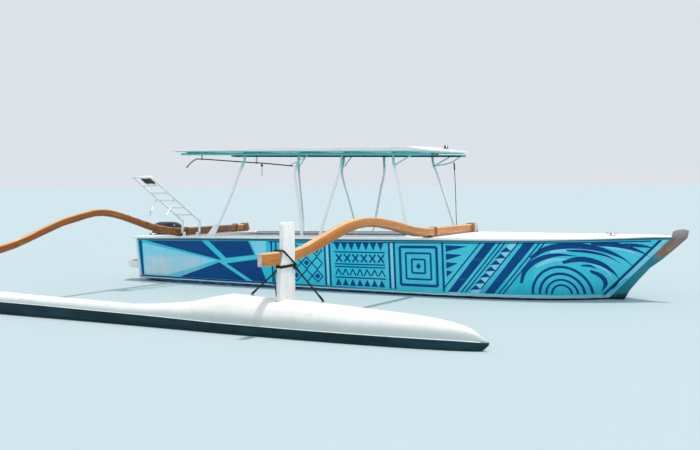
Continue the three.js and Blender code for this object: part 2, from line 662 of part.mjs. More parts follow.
// Roof posts, the same on both sides but for the first. Columns: name, sides, foot x, middle x and z,
// knee x and z, top x
const LEG_FOOT_Y = 880;
const LEG_KNEE_Y = 740;
const LEG_R = 20;
const BOTH = [['starboard', -1], ['port', 1]];
const LEGS = [
  ['leg_1', BOTH.slice(0, 1), -2691, -2401, 1455, -2328, 1690, -2200],
  ['leg_1', BOTH.slice(1), -2080, -2090, 1455, -2095, 1750, -2080],
  ['leg_2', BOTH, -1060, -1170, 1335, -1265, 1750, -1205],
  ['leg_3', BOTH, -757, -583, 1450, -486, 1770, -470],
  ['leg_4', BOTH, 690, 535, 1420, 426, 1770, 375],
];
function roofPost(side, footX, midX, midZ, kneeX, kneeZ, topX) {
  const footZ = deckTop(footX) + 9;
  const topZ = railZ(topX) - RAIL_R - 0.8;
  const midY = LEG_FOOT_Y - ((LEG_FOOT_Y - LEG_KNEE_Y) * (midZ - footZ)) / (kneeZ - footZ);
  const points = [
    [footX, side * LEG_FOOT_Y, footZ], [midX, side * midY, midZ], [kneeX, side * LEG_KNEE_Y, kneeZ],
    [topX, side * RAIL_Y, topZ - 60], [topX, side * RAIL_Y, topZ],
  ];
  const [x0, x1] = [footX - 45, footX + 45];
  const foot = box(x0, x1, side * LEG_FOOT_Y - 32, side * LEG_FOOT_Y + 32, deckTop(x1) + 1, footZ + 6);
  return union([bent(points, LEG_R, 8, 14), foot]);
}
for (const [name, sides, ...places] of LEGS) {
  for (const [side, s] of sides) add(`${name}_${side}`, roofPost(s, ...places), 'white');
}

// Boarding ladder, hinged at its feet on the edge of the aft deck
const [, ly, lz] = LADDER_AXIS;
const LADDER_R = 17;
const rail = [[ly, lz], [ly + 12, lz + 90], [ly + 14, lz + 168], [ly - 60, lz + 240], [ly - 1150, lz + 890]];
const RUNG_AT = [0.096, 0.274, 0.452, 0.63, 0.808];
const ladderParts = [];
for (const x of LADDER_X) {
  const points = rail.map(([y, z]) => [x, y, z]);
  ladderParts.push(bent(points, LADDER_R, 10, 24, 0.35));
  const pad = [ly - 800, lz + 310];
  const from = [ly - 606, lz + 565];
  ladderParts.push(rod([x, ...from], [x, ...pad], 10, 8));
  ladderParts.push(box(x - 20, x + 20, pad[0] - 18, pad[0] + 18, pad[1] - 8, pad[1] + 8));
}
for (const f of RUNG_AT) {
  const y = rail[3][0] + (rail[4][0] - rail[3][0]) * f;
  const z = rail[3][1] + (rail[4][1] - rail[3][1]) * f;
  ladderParts.push(rod([LADDER_X[0], y, z], [LADDER_X[1], y, z], 12, 10));
}
const [ty, tz] = rail[4];
ladderParts.push(rod([LADDER_X[0] - 13, ty, tz], [LADDER_X[1] + 13, ty, tz], 16, 10));
add('ladder', union(ladderParts), 'white');
LADDER_X.forEach((x, i) => {
  const x0 = i === 0 ? x + 24 : x - 54;
  add(`ladder_bracket_${i + 1}`, box(x0, x0 + 30, ly - 15, ly + 25, deckTop(x) + 6, lz + 18), 'white');
});

// Outboard motor: clamps, swivel, motor and propeller
const [tx, , tzAxis] = TILT;
for (const [name, y] of [['clamp_starboard', -110], ['clamp_port', 110]]) {
  const profile = [
    [-4225, 180], [BOARD_AFT - 1, 180], [BOARD_AFT - 1, 401], [BOARD_FORE + 1, 401], [BOARD_FORE + 1, 300],
    [-4085, 300], [-4085, 485], [-4205, 485], [-4225, 440],
  ];
  add(name, plateXZ(profile, y - 14, y + 14, 2), 'grey');
}
const swivelTube = rod([STEER_X, 0, 120], [STEER_X, 0, 485], 35, 16);
add('swivel', union([swivelTube, box(STEER_X, tx + 30, -40, 40, tzAxis - 28, tzAxis + 28),
  rod([tx, -84, tzAxis], [tx, 84, tzAxis], 22, 14)]), 'grey');
const legProfile = [
  [-4450, 550], [-4200, 550], [-4200, 496], [-4325, 490], [-4325, -160], [-4325, -300], [-4345, -470],
  [-4400, -480], [-4440, -300], [-4432, -160], [-4432, 300],
];
const leg = plateXZ(legProfile, -42, 42, 12);
const gearcase = new THREE.LatheGeometry([
  [0, -4195], [18, -4205], [38, -4240], [46, -4300], [46, -4420], [38, -4490], [0, -4492],
].map(([r, x]) => new THREE.Vector2(r, x)), 14);
gearcase.rotateZ(-Math.PI / 2);
gearcase.translate(0, 0, PROP_Z);
const plate = box(-4600, -4300, -62, 62, -178, -166);
add('motor_leg', union([leg, gearcase, plate]), 'motor');
// Cowl rows: z, fore x, aft x, half width
const COWL = [
  [562, -4040, -4585, 158], [600, -4030, -4600, 170], [700, -4028, -4602, 172], [800, -4036, -4596, 168],
  [870, -4060, -4575, 154], [915, -4100, -4545, 126], [940, -4160, -4490, 84], [947, -4230, -4420, 44],
];
add('motor_cowl', loft(COWL.map(([z, fore, aft, half]) => {
  const ring = [];
  const n = 20;
  for (let j = 0; j < n; j += 1) {
    const t = (2 * Math.PI * j) / n;
    const [c, s] = [Math.cos(t), Math.sin(t)];
    const x = (fore + aft) / 2 + ((fore - aft) / 2) * Math.sign(c) * Math.abs(c) ** 0.6;
    ring.push([x, half * Math.sign(s) * Math.abs(s) ** 0.6, z]);
  }
  return ring;
})), 'motor');
const hub = new THREE.LatheGeometry([[0, -4498], [36, -4498], [32, -4560], [20, -4590], [0, -4596]]
  .map(([r, x]) => new THREE.Vector2(r, x)), 12);
hub.rotateZ(-Math.PI / 2);
hub.translate(0, 0, PROP_Z);
const blades = [0, 1, 2].map((k) => {
  const blade = new THREE.SphereGeometry(1, 10, 6);
  blade.scale(5, 34, 52);
  blade.rotateZ(0.55);
  blade.translate(-4532, 0, 70);
  blade.rotateX((2 * Math.PI * k) / 3);
  blade.translate(0, 0, PROP_Z);
  return blade;
});
add('propeller', union([hub, ...blades]), 'motor');

// Step on the transom, cleats on the foredeck and a lamp on the roof
const stepFace = (z) => rakeAt(z) - TRANSOM_T - 2 * GAP;
const stepShape = [
  [stepFace(205), 205], [stepFace(325), 325], [-4552, 325], [-4567, 310], [-4567, 285], [-4527, 205],
];
add('transom_step', plateXZ(stepShape, -750, -520, 4), 'white');
const CLEATS = [
  ['cleat_bow', 3350, 0], ['cleat_stern_starboard', -4150, -600], ['cleat_stern_port', -4150, 600],
];
for (const [name, x, y] of CLEATS) {
  const z = deckTop(x) + 7;
  const base = box(x - 35, x + 35, y - 12, y + 12, z, z + 26);
  add(name, union([base, rod([x - 85, y, z + 28], [x + 85, y, z + 28], 9, 8)]), 'steel');
}
const LAMP_X = 900;
const lampFoot = roofTop(LAMP_X - 34, 0) + 1;
const lampBase = rod([LAMP_X, 0, lampFoot], [LAMP_X, 0, lampFoot + 20], 34, 14);
const lampHead = rod([LAMP_X, 0, lampFoot + 16], [LAMP_X, 0, lampFoot + 55], 27, 14);
add('roof_lamp', union([lampBase, lampHead]), 'lamp');

export default group;
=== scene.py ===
import json
import math

import bmesh
import bpy
from mathutils import Matrix, Vector
from mathutils.bvhtree import BVHTree
from mathutils.geometry import delaunay_2d_cdt


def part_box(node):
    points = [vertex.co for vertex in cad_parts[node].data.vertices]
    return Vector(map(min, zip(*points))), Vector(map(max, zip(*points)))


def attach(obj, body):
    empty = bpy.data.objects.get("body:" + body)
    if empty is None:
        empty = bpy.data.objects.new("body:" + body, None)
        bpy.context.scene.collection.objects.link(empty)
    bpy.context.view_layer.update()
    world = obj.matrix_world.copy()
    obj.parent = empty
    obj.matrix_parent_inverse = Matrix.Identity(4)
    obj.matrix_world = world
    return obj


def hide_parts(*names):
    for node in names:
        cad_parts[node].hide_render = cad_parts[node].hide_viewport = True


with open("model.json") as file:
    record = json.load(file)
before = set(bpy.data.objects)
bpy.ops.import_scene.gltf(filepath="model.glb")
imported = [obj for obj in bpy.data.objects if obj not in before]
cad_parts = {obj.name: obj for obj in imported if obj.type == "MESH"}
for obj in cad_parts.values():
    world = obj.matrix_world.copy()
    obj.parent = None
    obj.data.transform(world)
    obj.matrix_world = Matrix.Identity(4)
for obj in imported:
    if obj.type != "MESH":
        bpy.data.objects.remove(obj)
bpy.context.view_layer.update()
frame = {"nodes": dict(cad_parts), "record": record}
NODES = frame["nodes"]

# Camera: height over the water, place and heading of the photograph's view
CAMERA_AT = (6.577, -13.421, 1.6)
CAMERA_HEADING = 28.53
CAMERA_PITCH = -2.45
CAMERA_ROLL = 0.315
FOCAL_PIXELS = 980.0
FRAME_WIDTH = 700.0
SENSOR_MM = 36.0
CLIP_END = 900.0

# Studio. Lamps: name, strength, angle in degrees, colour, the side they shine from
FLOOR_HALF = 400.0
FLOOR_COLOUR = (0.39, 0.49, 0.52)
FLOOR_ROUGHNESS = 0.9
SKY_COLOUR = (0.80, 0.85, 0.90)
SKY_STRENGTH = 0.90
LAMPS = (
    ("sun", 2.7, 4.0, (1.0, 0.97, 0.92), (0.23, 0.10, 1.0)),
    ("fill", 0.32, 100.0, (0.95, 0.98, 1.0), (0.48, -0.88, 0.40)),
)

# Places that several pieces share, in metres
FRONT_BOOM_X = 1.0
REAR_BOOM_X = -3.39
BOOM_HALF = 0.04
AMA_Y = -4.715
POST_AFT, POST_FORE = 0.005, 0.059
RAIL_Y = 0.70
LEG_Y = 0.88
LEG_FEET = {"leg_1_starboard": -2.691, "leg_1_port": -2.08, "leg_2": -1.06, "leg_3": -0.757, "leg_4": 0.69}
BENCHES = (-2.35, -1.40, -0.45, 0.42)
BEARERS = (-3.30, -2.22, -1.18, -0.42, 0.38)
SHEER_AFT_Z = 0.784
SHEER_RISE = 0.0185
BOOT_Z = 0.052
BOOT_FALL = 0.004
UP = (0, 0, 1)
SIDES = ((-1, "starboard"), (1, "port"))


# Stage

def linked(name, data):
    """A new object in the scene."""
    made = bpy.data.objects.new(name, data)
    bpy.context.scene.collection.objects.link(made)
    return made


def make_camera():
    data = bpy.data.cameras.new("camera")
    data.sensor_width = SENSOR_MM
    data.lens = SENSOR_MM * FOCAL_PIXELS / FRAME_WIDTH
    data.clip_end = CLIP_END
    camera = linked("camera", data)
    turn = Matrix.Rotation(math.radians(CAMERA_HEADING), 4, "Z")
    tilt = Matrix.Rotation(math.radians(90.0 + CAMERA_PITCH), 4, "X")
    roll = Matrix.Rotation(math.radians(-CAMERA_ROLL), 4, "Z")
    camera.matrix_world = Matrix.Translation(CAMERA_AT) @ turn @ tilt @ roll
    bpy.context.scene.camera = camera


def make_floor():
    mesh = bpy.data.meshes.new("floor")
    half = FLOOR_HALF
    corners = [(-half, -half, 0), (half, -half, 0), (half, half, 0), (-half, half, 0)]
    mesh.from_pydata(corners, [], [(0, 1, 2, 3)])
    paint = bpy.data.materials.new("floor")
    paint.use_nodes = True
    shader = paint.node_tree.nodes["Principled BSDF"]
    shader.inputs["Base Color"].default_value = (*FLOOR_COLOUR, 1)
    shader.inputs["Roughness"].default_value = FLOOR_ROUGHNESS
    mesh.materials.append(paint)
    floor = linked("floor_plane", mesh)


def make_lights():
    world = bpy.data.worlds.new("studio")
    bpy.context.scene.world = world
    world.use_nodes = True
    background = world.node_tree.nodes["Background"]
    background.inputs["Color"].default_value = (*SKY_COLOUR, 1)
    background.inputs["Strength"].default_value = SKY_STRENGTH
    for name, strength, angle, colour, source in LAMPS:
        data = bpy.data.lights.new(name, "SUN")
        data.energy = strength
        data.angle = math.radians(angle)
        data.color = colour
        linked(name, data).rotation_euler = Vector(source).to_track_quat("Z", "Y").to_euler()


# Node trees

class Value:
    """An output of a node. Arithmetic on values makes math nodes in the same tree."""

    def __init__(self, tree, socket):
        self.tree, self.socket = tree, socket

    def math(self, operation, other=0.0, clamp=False):
        return add_node(self.tree, "ShaderNodeMath", {0: self, 1: other}, operation=operation, use_clamp=clamp)

    def __add__(self, other):
        return self.math("ADD", other)

    def __sub__(self, other):
        return self.math("SUBTRACT", other)

    def __mul__(self, other):
        return self.math("MULTIPLY", other)

    def __truediv__(self, other):
        return self.math("DIVIDE", other)


def add_node(tree, kind, inputs=None, out=0, **settings):
    """Makes a node with its settings and inputs. Gives one of its outputs, or the node when out is None."""
    made = tree.nodes.new(kind)
    row, column = divmod(len(tree.nodes), 12)
    made.location = (180 * column, -220 * row)
    for key, value in settings.items():
        setattr(made, key, value)
    for key, value in (inputs or {}).items():
        socket = made.inputs[key]
        if isinstance(value, Value):
            tree.links.new(value.socket, socket)
        else:
            socket.default_value = (*value, 1) if socket.type == "RGBA" else value
    return made if out is None else Value(tree, made.outputs[out])


def outputs(made):
    """A node's outputs as values, in order."""
    return [Value(made.id_data, socket) for socket in made.outputs]


def tree_of(*values):
    return next(value.tree for value in values if isinstance(value, Value))


def use(group, *values):
    """The outputs of a node group that is given these inputs, in order."""
    inputs = dict(enumerate(values))
    return outputs(add_node(tree_of(*values), "ShaderNodeGroup", inputs, None, node_tree=group))


def mix(factor, a, b):
    return add_node(tree_of(factor, a, b), "ShaderNodeMix", {0: factor, 6: a, 7: b}, 2, data_type="RGBA")


def blend(factor, a, b):
    return add_node(factor.tree, "ShaderNodeMix", {0: factor, 2: a, 3: b}, data_type="FLOAT")


def ramp(value, low, high, to_low=0.0, to_high=1.0, kind="SMOOTHSTEP"):
    inputs = {"Value": value, "From Min": low, "From Max": high, "To Min": to_low, "To Max": to_high}
    return add_node(value.tree, "ShaderNodeMapRange", inputs, interpolation_type=kind)


def noise(vector, scale, detail=3.0, roughness=0.5, distortion=0.0):
    inputs = {"Vector": vector, "Scale": scale, "Detail": detail, "Roughness": roughness, "Distortion": distortion}
    return add_node(vector.tree, "ShaderNodeTexNoise", inputs)


def stretch(vector, scale, turn=(0, 0, 0)):
    inputs = {"Vector": vector, "Rotation": [math.radians(a) for a in turn], "Scale": scale}
    return add_node(vector.tree, "ShaderNodeMapping", inputs)


def split(vector):
    return outputs(add_node(vector.tree, "ShaderNodeSeparateXYZ", {0: vector}, None))


def join(x, y, z):
    return add_node(tree_of(x, y, z), "ShaderNodeCombineXYZ", {0: x, 1: y, 2: z})


def bump(height, strength, distance):
    return add_node(height.tree, "ShaderNodeBump", {"Height": height, "Strength": strength, "Distance": distance})


def facing(v):
    """The parts of the surface's own direction."""
    return split(add_node(v.tree, "ShaderNodeNewGeometry", out="Normal"))


def curve(value, points, low, high, out_low, out_high):
    """A smooth curve through (value, result) points."""
    scaled = ramp(value, low, high, kind="LINEAR")
    made = add_node(value.tree, "ShaderNodeFloatCurve", {"Value": scaled}, None)
    line = made.mapping.curves[0]
    places = [((a - low) / (high - low), (b - out_low) / (out_high - out_low)) for a, b in points]
    while len(line.points) < len(places):
        line.points.new(0.5, 0.5)
    for point, place in zip(line.points, places):
        point.location = place
    made.mapping.update()
    return ramp(outputs(made)[0], 0.0, 1.0, out_low, out_high, "LINEAR")


def shader_group(name, results, **inputs):
    """Makes a node group of the function below it: a tuple is a colour, None a vector."""

    def make(build):
        tree = bpy.data.node_groups.new(name, "ShaderNodeTree")
        for key, value in inputs.items():
            kind = "Vector" if value is None else "Color" if isinstance(value, tuple) else "Float"
            socket = tree.interface.new_socket(name=key, in_out="INPUT", socket_type="NodeSocket" + kind)
            if value is not None:
                socket.default_value = (*value, 1) if kind == "Color" else value
        for key in results:
            kind = "Color" if key == "Colour" else "Float"
            tree.interface.new_socket(name=key, in_out="OUTPUT", socket_type="NodeSocket" + kind)
        given = outputs(add_node(tree, "NodeGroupInput", out=None))
        add_node(tree, "NodeGroupOutput", dict(zip(results, build(*given[:len(inputs)]))), None)
        return tree

    return make


@shader_group("paint_ageing", ("Colour", "Roughness", "Height"), Vector=None, Colour=(0.8, 0.8, 0.8),
              Pale=(0.9, 0.9, 0.9), Stain=(0.4, 0.4, 0.35), Scale=2.0, Fade=0.5, Dirt=0.3, Gloss=0.3)
def AGEING(v, colour, pale, stain, scale, fade, dirt, gloss):
    """Paint that has faded in patches, gathered dirt and lost its gloss unevenly."""
    broad = noise(v, scale, 4.0, 0.55)
    fine = noise(v, scale * 9.0, 5.0, 0.6)
    faded = mix(ramp(broad, 0.35, 0.75) * fade, colour, pale)
    marked = mix(ramp(fine, 0.5, 0.78) * dirt, faded, stain)
    return marked, gloss + fine * 0.22, broad * 0.6 + fine * 0.4


@shader_group("rain_streaks", ("Mask",), Vector=None, Scale=2.0, Amount=0.5)
def STREAKS(v, scale, amount):
    """Rain and salt runs: thin marks that hang down a wall."""
    mask = ramp(noise(stretch(v, (9.0, 9.0, 0.55)), scale, 4.0, 0.62), 0.52, 0.74)
    patch = ramp(noise(v, 1.1, 2.0), 0.38, 0.62)
    return ((mask * patch).math("MULTIPLY", amount, True),)


@shader_group("scuff_marks", ("Mask",), Vector=None, Scale=2.0, Amount=0.5)
def SCUFFS(v, scale, amount):
    """Short rubbed marks that lie mostly fore and aft, with bare specks."""
    flat = stretch(v, (0.8, 5.0, 7.0), (0, 6, 0))
    lines = ramp(noise(flat, scale, 6.0, 0.7, 0.4), 0.6, 0.68)
    specks = ramp(noise(v, scale * 14.0, 2.0), 0.70, 0.76)
    return (lines.math("MAXIMUM", specks).math("MULTIPLY", amount, True),)


@shader_group("wood_grain", ("Colour", "Height"), Vector=None, Light=(0.7, 0.4, 0.2), Dark=(0.4, 0.2, 0.08), Scale=3.0)
def GRAIN(v, light, dark, scale):
    """Long wood fibres along X of the vector, with rings and pores."""
    rings = noise(stretch(v, (0.35, 6.0, 6.0)), scale, 5.0, 0.6, 1.2)
    pores = noise(stretch(v, (1.2, 30.0, 30.0)), scale, 3.0, 0.7)
    colour = mix(ramp(rings, 0.3, 0.7), light, dark)
    colour = mix(ramp(pores, 0.6, 0.72, 0.0, 0.45), colour, mix(0.75, dark, (0.02, 0.012, 0.006)))
    return colour, rings * 0.5 + pores * 0.5


@shader_group("rope_braid", ("Height", "Fuzz"), Vector=None, Pitch=60.0, Strands=4.0)
def BRAID(vector, pitch, strands):
    """Strands laid across each other round a rope; U is the length in metres, V goes round once."""
    u, v, _ = split(vector)
    along, around = u * pitch, v * strands
    left, right = (along + around).math("PINGPONG", 0.5), (along - around).math("PINGPONG", 0.5)
    return ramp(left.math("MAXIMUM", right), 0.1, 0.5), noise(join(u * 400.0, v * 12.0, 0.0), 2.0, 4.0)


@shader_group("aft_wear", ("Mask",), Vector=None)
def AFT_WEAR(v):
    """Low on the sides near the stern the paint has rubbed thin."""
    x, _, z = split(v)
    cloud = ramp(noise(stretch(v, (1.0, 1.0, 1.8)), 2.2, 5.0, 0.6), 0.34, 0.62, 0.25, 1.0)
    runs = ramp(noise(stretch(v, (7.0, 7.0, 0.6)), 2.0, 4.0, 0.6), 0.36, 0.62, 0.5, 1.0)
    return (cloud * runs * (ramp(x, -2.7, -3.3) * ramp(z, 0.47, 0.36)),)


# Finishes. A finish is given the place on the piece and lays out colour, roughness and normal

COAT_ROUGHNESS = 0.12


def material(name, build, specular=0.5, coat=0.0, metallic=0.0):
    made = bpy.data.materials.new(name)
    made.use_nodes = True
    tree = made.node_tree
    shader = tree.nodes["Principled BSDF"]
    for key, value in (("Metallic", metallic), ("Coat Weight", coat), ("Coat Roughness", COAT_ROUGHNESS),
                       ("Specular IOR Level", specular)):
        shader.inputs[key].default_value = value
    results = build(add_node(tree, "ShaderNodeTexCoord", out="Object"))
    for key, value in zip(("Base Color", "Roughness", "Normal"), results):
        tree.links.new(value.socket, shader.inputs[key])
    return made


def painted(colour, pale, stain, scale=1.6, fade=0.5, dirt=0.25, gloss=0.3, scuff=0.0, streak=0.0, relief=0.15,
            grit=0.0, chips=None, worn_aft=None):
    """A painted finish: colour that varies, dirt, scuffs, runs and an uneven gloss."""

    def build(v):
        out, rough, height = use(AGEING, v, colour, pale, stain, scale, fade, dirt, gloss)
        if streak:
            out = mix(use(STREAKS, v, 2.4, streak)[0], out, stain)
        if scuff:
            marks = use(SCUFFS, v, 3.0, scuff)[0]
            out = mix(marks, out, chips or stain)
            rough = rough + marks * 0.25
        if worn_aft:
            worn = use(AFT_WEAR, v)[0]
            out = mix(worn, out, worn_aft)
            rough = rough + worn * 0.2
        if grit:
            height = height + add_node(v.tree, "ShaderNodeTexVoronoi", {"Vector": v, "Scale": grit}, "Distance") * 0.8
        return out, rough, bump(height, relief, 0.004)

    return build


WHITE = (0.82, 0.815, 0.79)
WHITE_PALE = (0.88, 0.875, 0.855)
WHITE_STAIN = (0.50, 0.48, 0.42)
TURQUOISE = (0.010, 0.575, 0.73)
TURQUOISE_PALE = (0.09, 0.67, 0.80)
DEEP_BLUE = (0.0, 0.054, 0.225)
BLUE_PALE = (0.0, 0.085, 0.28)
SEA_STAIN = (0.03, 0.30, 0.34)
BOTTOM_DARK = (0.001, 0.020, 0.032)
LILAC = (0.66, 0.67, 0.74)
LILAC_PALE = (0.74, 0.76, 0.80)
CEILING = (0.13, 0.55, 0.56)
CEILING_PALE = (0.20, 0.66, 0.67)
CEILING_STAIN = (0.07, 0.36, 0.39)


def hull_finish(v):
    """Turquoise sides, a dark strip under the rim painted as the shadow of the rim's overhang, a pale boot line, a dark
    bottom that is painted blue aft as the water's reflection, and pale paint inside.
    """
    x, y, z = split(v)
    colour, rough, height = use(AGEING, v, TURQUOISE, TURQUOISE_PALE, SEA_STAIN, 0.9, 0.75, 0.22, 0.30)
    colour = mix(use(STREAKS, v, 2.2, 0.35)[0], colour, (0.24, 0.66, 0.68))
    worn = use(AFT_WEAR, v)[0]
    colour = mix(worn * 0.6, colour, (0.56, 0.74, 0.78))
    colour = mix(use(SCUFFS, v, 2.2, 0.5)[0], colour, (0.30, 0.66, 0.70))
    # A dark strip just under the rim: painted shadow of the rim's overhang.
    rim = x * SHEER_RISE + SHEER_AFT_Z - z
    colour = mix(ramp(rim, 0.030, 0.024), colour, (0.02, 0.13, 0.17))
    wobble = noise(v, 6.0, 3.0) * 0.012 - 0.006
    boot = x * -BOOT_FALL + BOOT_Z - z + wobble
    colour = mix(ramp(boot, -0.032, -0.028) * ramp(x, 1.2, -1.6), colour, DEEP_BLUE)
    colour = mix(ramp(boot, -0.003, 0.0), colour, (0.62, 0.78, 0.80))
    # Below the boot line the bottom is dark forward; aft it is painted blue as the water's reflection, with weed and
    # ripple noise.
    slime_and_ripple = noise(stretch(v, (1.0, 1.0, 3.0)), 9.0, 5.0)
    bottom = mix(ramp(slime_and_ripple, 0.45, 0.7), BOTTOM_DARK, (0.015, 0.07, 0.065))
    painted_reflection_blue = mix(ramp(slime_and_ripple, 0.42, 0.66), (0.002, 0.055, 0.15), (0.02, 0.16, 0.26))
    colour = mix(ramp(boot, 0.012, 0.015), colour, mix(ramp(x, 1.6, -2.6), bottom, painted_reflection_blue))
    outside = (y * facing(v)[1]).math("GREATER_THAN").math("MAXIMUM", z.math("LESS_THAN", 0.02))
    inner = use(AGEING, v, LILAC, LILAC_PALE, (0.40, 0.40, 0.42), 2.0, 0.6, 0.4, 0.45)[0]
    return mix(outside, inner, colour), rough + worn * 0.2, bump(height, 0.18, 0.006)


def boom_rows(name):
    """Underside and top of a boom at places along it, read from its solid."""
    rows = {}
    for vertex in NODES[name].data.vertices:
        _, y, z = vertex.co
        low, high = rows.get(round(y, 3), (9.0, -9.0))
        rows[round(y, 3)] = (min(low, z), max(high, z))
    found = sorted((y, low, high) for y, (low, high) in rows.items() if high - low > 0.08)
    kept = []
    for row in found:
        if not kept or row[0] - kept[-1][0] > 0.14:
            kept.append(row)
    kept[-1] = found[-1] if found[-1][0] - kept[-1][0] > 0.02 else kept[-1]
    return kept


def boom_finish(name, light, dark):
    """Varnished strips laid one on another along the boom's curve, bare and grey at the end."""
    rows = boom_rows(name)
    low, high = rows[0][0], rows[-1][0]

    def build(v):
        x, y, z = split(v)
        under, over = (curve(y, [(row[0], row[k]) for row in rows], low, high, 0.6, 1.3) for k in (1, 2))
        t = (z - under) / (over - under)
        strips = t * 6.0
        number = strips.math("FLOOR")
        line = ramp((strips.math("FRACT") - 0.5).math("ABSOLUTE"), 0.40, 0.47)
        colour, fibres = use(GRAIN, join(y + number * 3.7, x, t * 0.12), light, dark, 5.0)
        tone = noise(join(number * 2.3, y * 0.25, 0.0), 1.0, 1.0)
        colour = mix(ramp(tone, 0.35, 0.65, 0.0, 0.45), colour, dark)
        colour = mix(line * 0.8, colour, (0.10, 0.028, 0.006))
        patch = ramp(noise(v, 3.2, 5.0, 0.6), 0.52, 0.70)
        # The top of the boom is paler and rougher: weathered varnish, and partly a painted highlight.
        worn = ramp(t, 0.84, 0.99) * blend(patch, 0.75, 1.0)
        colour = mix(worn * 0.8, colour, (0.80, 0.60, 0.38))
        colour = mix(patch * ramp(t, 0.9, 0.3, 0.0, 0.18), colour, (0.62, 0.40, 0.18))
        rings = ramp(noise(join(x, 0.0, z), 40.0, 4.0), 0.35, 0.65)
        bare = mix(rings, (0.74, 0.66, 0.62), (0.46, 0.36, 0.32))
        colour = mix(ramp(y, low + 0.004, low + 0.001), colour, bare)
        return colour, blend(worn, blend(patch, 0.24, 0.38), 0.58), bump(fibres * 0.6 - line * 0.8, 0.22, 0.003)

    return build


def stem_finish(v):
    """Old paint on a timber that the weather has bared at its head."""
    x, y, z = split(v)
    ragged = z + (noise(v, 7.0, 6.0, 0.65) - 0.5) * 0.26
    fibres = join(x * 0.72 + z * 0.69, y, z * 0.72 - x * 0.69)
    wood, height = use(GRAIN, fibres, (0.36, 0.27, 0.22), (0.17, 0.095, 0.06), 4.0)
    grey = mix(ramp(ragged, 0.84, 0.94), wood, (0.37, 0.33, 0.38))
    grey = mix(ramp(noise(v, 11.0, 4.0, 0.6), 0.50, 0.62) * 0.45, grey, (0.13, 0.20, 0.19))
    bared = ramp(ragged, 0.84, 0.76) * ramp(noise(v, 8.0, 4.0, 0.6), 0.44, 0.54)
    grey = mix(bared * 0.75, grey, (0.27, 0.125, 0.060))
    paint = use(AGEING, v, (0.012, 0.21, 0.27), (0.04, 0.27, 0.33), (0.05, 0.10, 0.11), 3.0, 0.8, 0.6, 0.45)[0]
    peeled = ramp(ragged, 0.56, 0.66)
    colour = mix(ramp(ragged, 0.10, 0.03), mix(peeled, paint, grey), BOTTOM_DARK)
    return colour, blend(peeled, 0.5, 0.8), bump(height, 0.4, 0.004)


def roof_finish(v):
    """White gelcoat with dull patches on top and a pale aqua ceiling."""
    colour, rough, height = use(AGEING, v, WHITE, WHITE_PALE, (0.55, 0.54, 0.48), 0.9, 0.8, 0.35, 0.26)
    below = use(AGEING, v, CEILING, CEILING_PALE, CEILING_STAIN, 1.4, 0.7, 0.3, 0.5)[0]
    colour = mix(use(STREAKS, stretch(v, (1.0, 1.0, 4.0)), 1.6, 0.25)[0], colour, (0.50, 0.52, 0.50))
    return mix(ramp(facing(v)[2], -0.3, -0.6), colour, below), rough, bump(height, 0.15, 0.005)


def float_finish(v):
    """White paint, greyer towards the waterline as painted shade, with rubbed marks."""
    low = split(v)[2] - noise(v, 3.0, 4.0) * 0.05
    colour, rough, height = use(AGEING, v, WHITE, WHITE_PALE, (0.55, 0.52, 0.44), 1.2, 0.8, 0.22, 0.30)
    # Greener grey low on the float's sides: painted shade.
    colour = mix(ramp(low, 0.235, 0.125, 0.0, 0.85), colour, (0.42, 0.50, 0.50))
    colour = mix(use(STREAKS, v, 2.8, 0.30)[0], colour, (0.46, 0.46, 0.42))
    colour = mix(use(SCUFFS, v, 2.0, 0.35)[0], colour, (0.42, 0.44, 0.46))
    return colour, rough, bump(height, 0.2, 0.006)


def bottom_finish(v):
    """Dark bottom paint, chalky in patches, with a line of weed at the water."""
    patches = ramp(noise(stretch(v, (0.5, 1.0, 1.6)), 5.0, 6.0, 0.65), 0.42, 0.66)
    weed = split(v)[2] + noise(v, 9.0, 5.0) * 0.05
    colour = mix(patches, BOTTOM_DARK, (0.006, 0.046, 0.062))
    colour = mix(ramp(weed, 0.055, 0.02, 0.0, 0.6), colour, (0.03, 0.055, 0.03))
    return colour, blend(patches, 0.38, 0.62), bump(patches, 0.3, 0.004)


def tube_finish(v):
    """White coated tube with small rust spots and rubbed places; towards its head it takes the ceiling's teal as
    painted shade of the roof.
    """
    colour, rough, height = use(AGEING, v, (0.87, 0.88, 0.89), (0.92, 0.92, 0.91), (0.62, 0.59, 0.55), 5.0, 0.6,
                                0.4, 0.28)
    near = ramp(noise(v, 2.6, 2.0), 0.5, 0.6)
    rust = ramp(noise(v, 42.0, 3.0, 0.6), 0.70, 0.76) * near
    # Near the roof the tube turns teal: painted shade of the roof.
    colour = mix(ramp(split(v)[2] + near * 0.05, 1.76, 1.92, 0.0, 0.85), colour, CEILING)
    return mix(rust, colour, (0.30, 0.12, 0.045)), rough + rust * 0.4, bump(height, 0.12, 0.002)


def steel_finish(v):
    brushed = noise(stretch(v, (60.0, 400.0, 400.0)), 1.0, 4.0)
    colour = mix(ramp(noise(v, 24.0, 4.0), 0.4, 0.7), (0.62, 0.63, 0.64), (0.40, 0.37, 0.34))
    return colour, ramp(brushed, 0.3, 0.7, 0.16, 0.42), bump(brushed, 0.12, 0.0008)


def cast_finish(v):
    patch = ramp(noise(v, 16.0, 5.0), 0.5, 0.66)
    colour = mix(patch, (0.30, 0.31, 0.33), (0.46, 0.46, 0.45))
    return colour, blend(patch, 0.38, 0.6), bump(noise(v, 130.0, 4.0, 0.6), 0.25, 0.0012)


def motor_finish(v):
    colour, rough, height = use(AGEING, v, (0.012, 0.014, 0.017), (0.04, 0.045, 0.05), (0.16, 0.16, 0.15), 6.0, 0.5,
                                0.3, 0.16)
    hair = ramp(noise(stretch(v, (3.0, 3.0, 60.0), (0, 12, 0)), 4.0, 4.0), 0.66, 0.70, 0.0, 0.5)
    return mix(hair, colour, (0.22, 0.22, 0.23)), rough, bump(height, 0.05, 0.001)


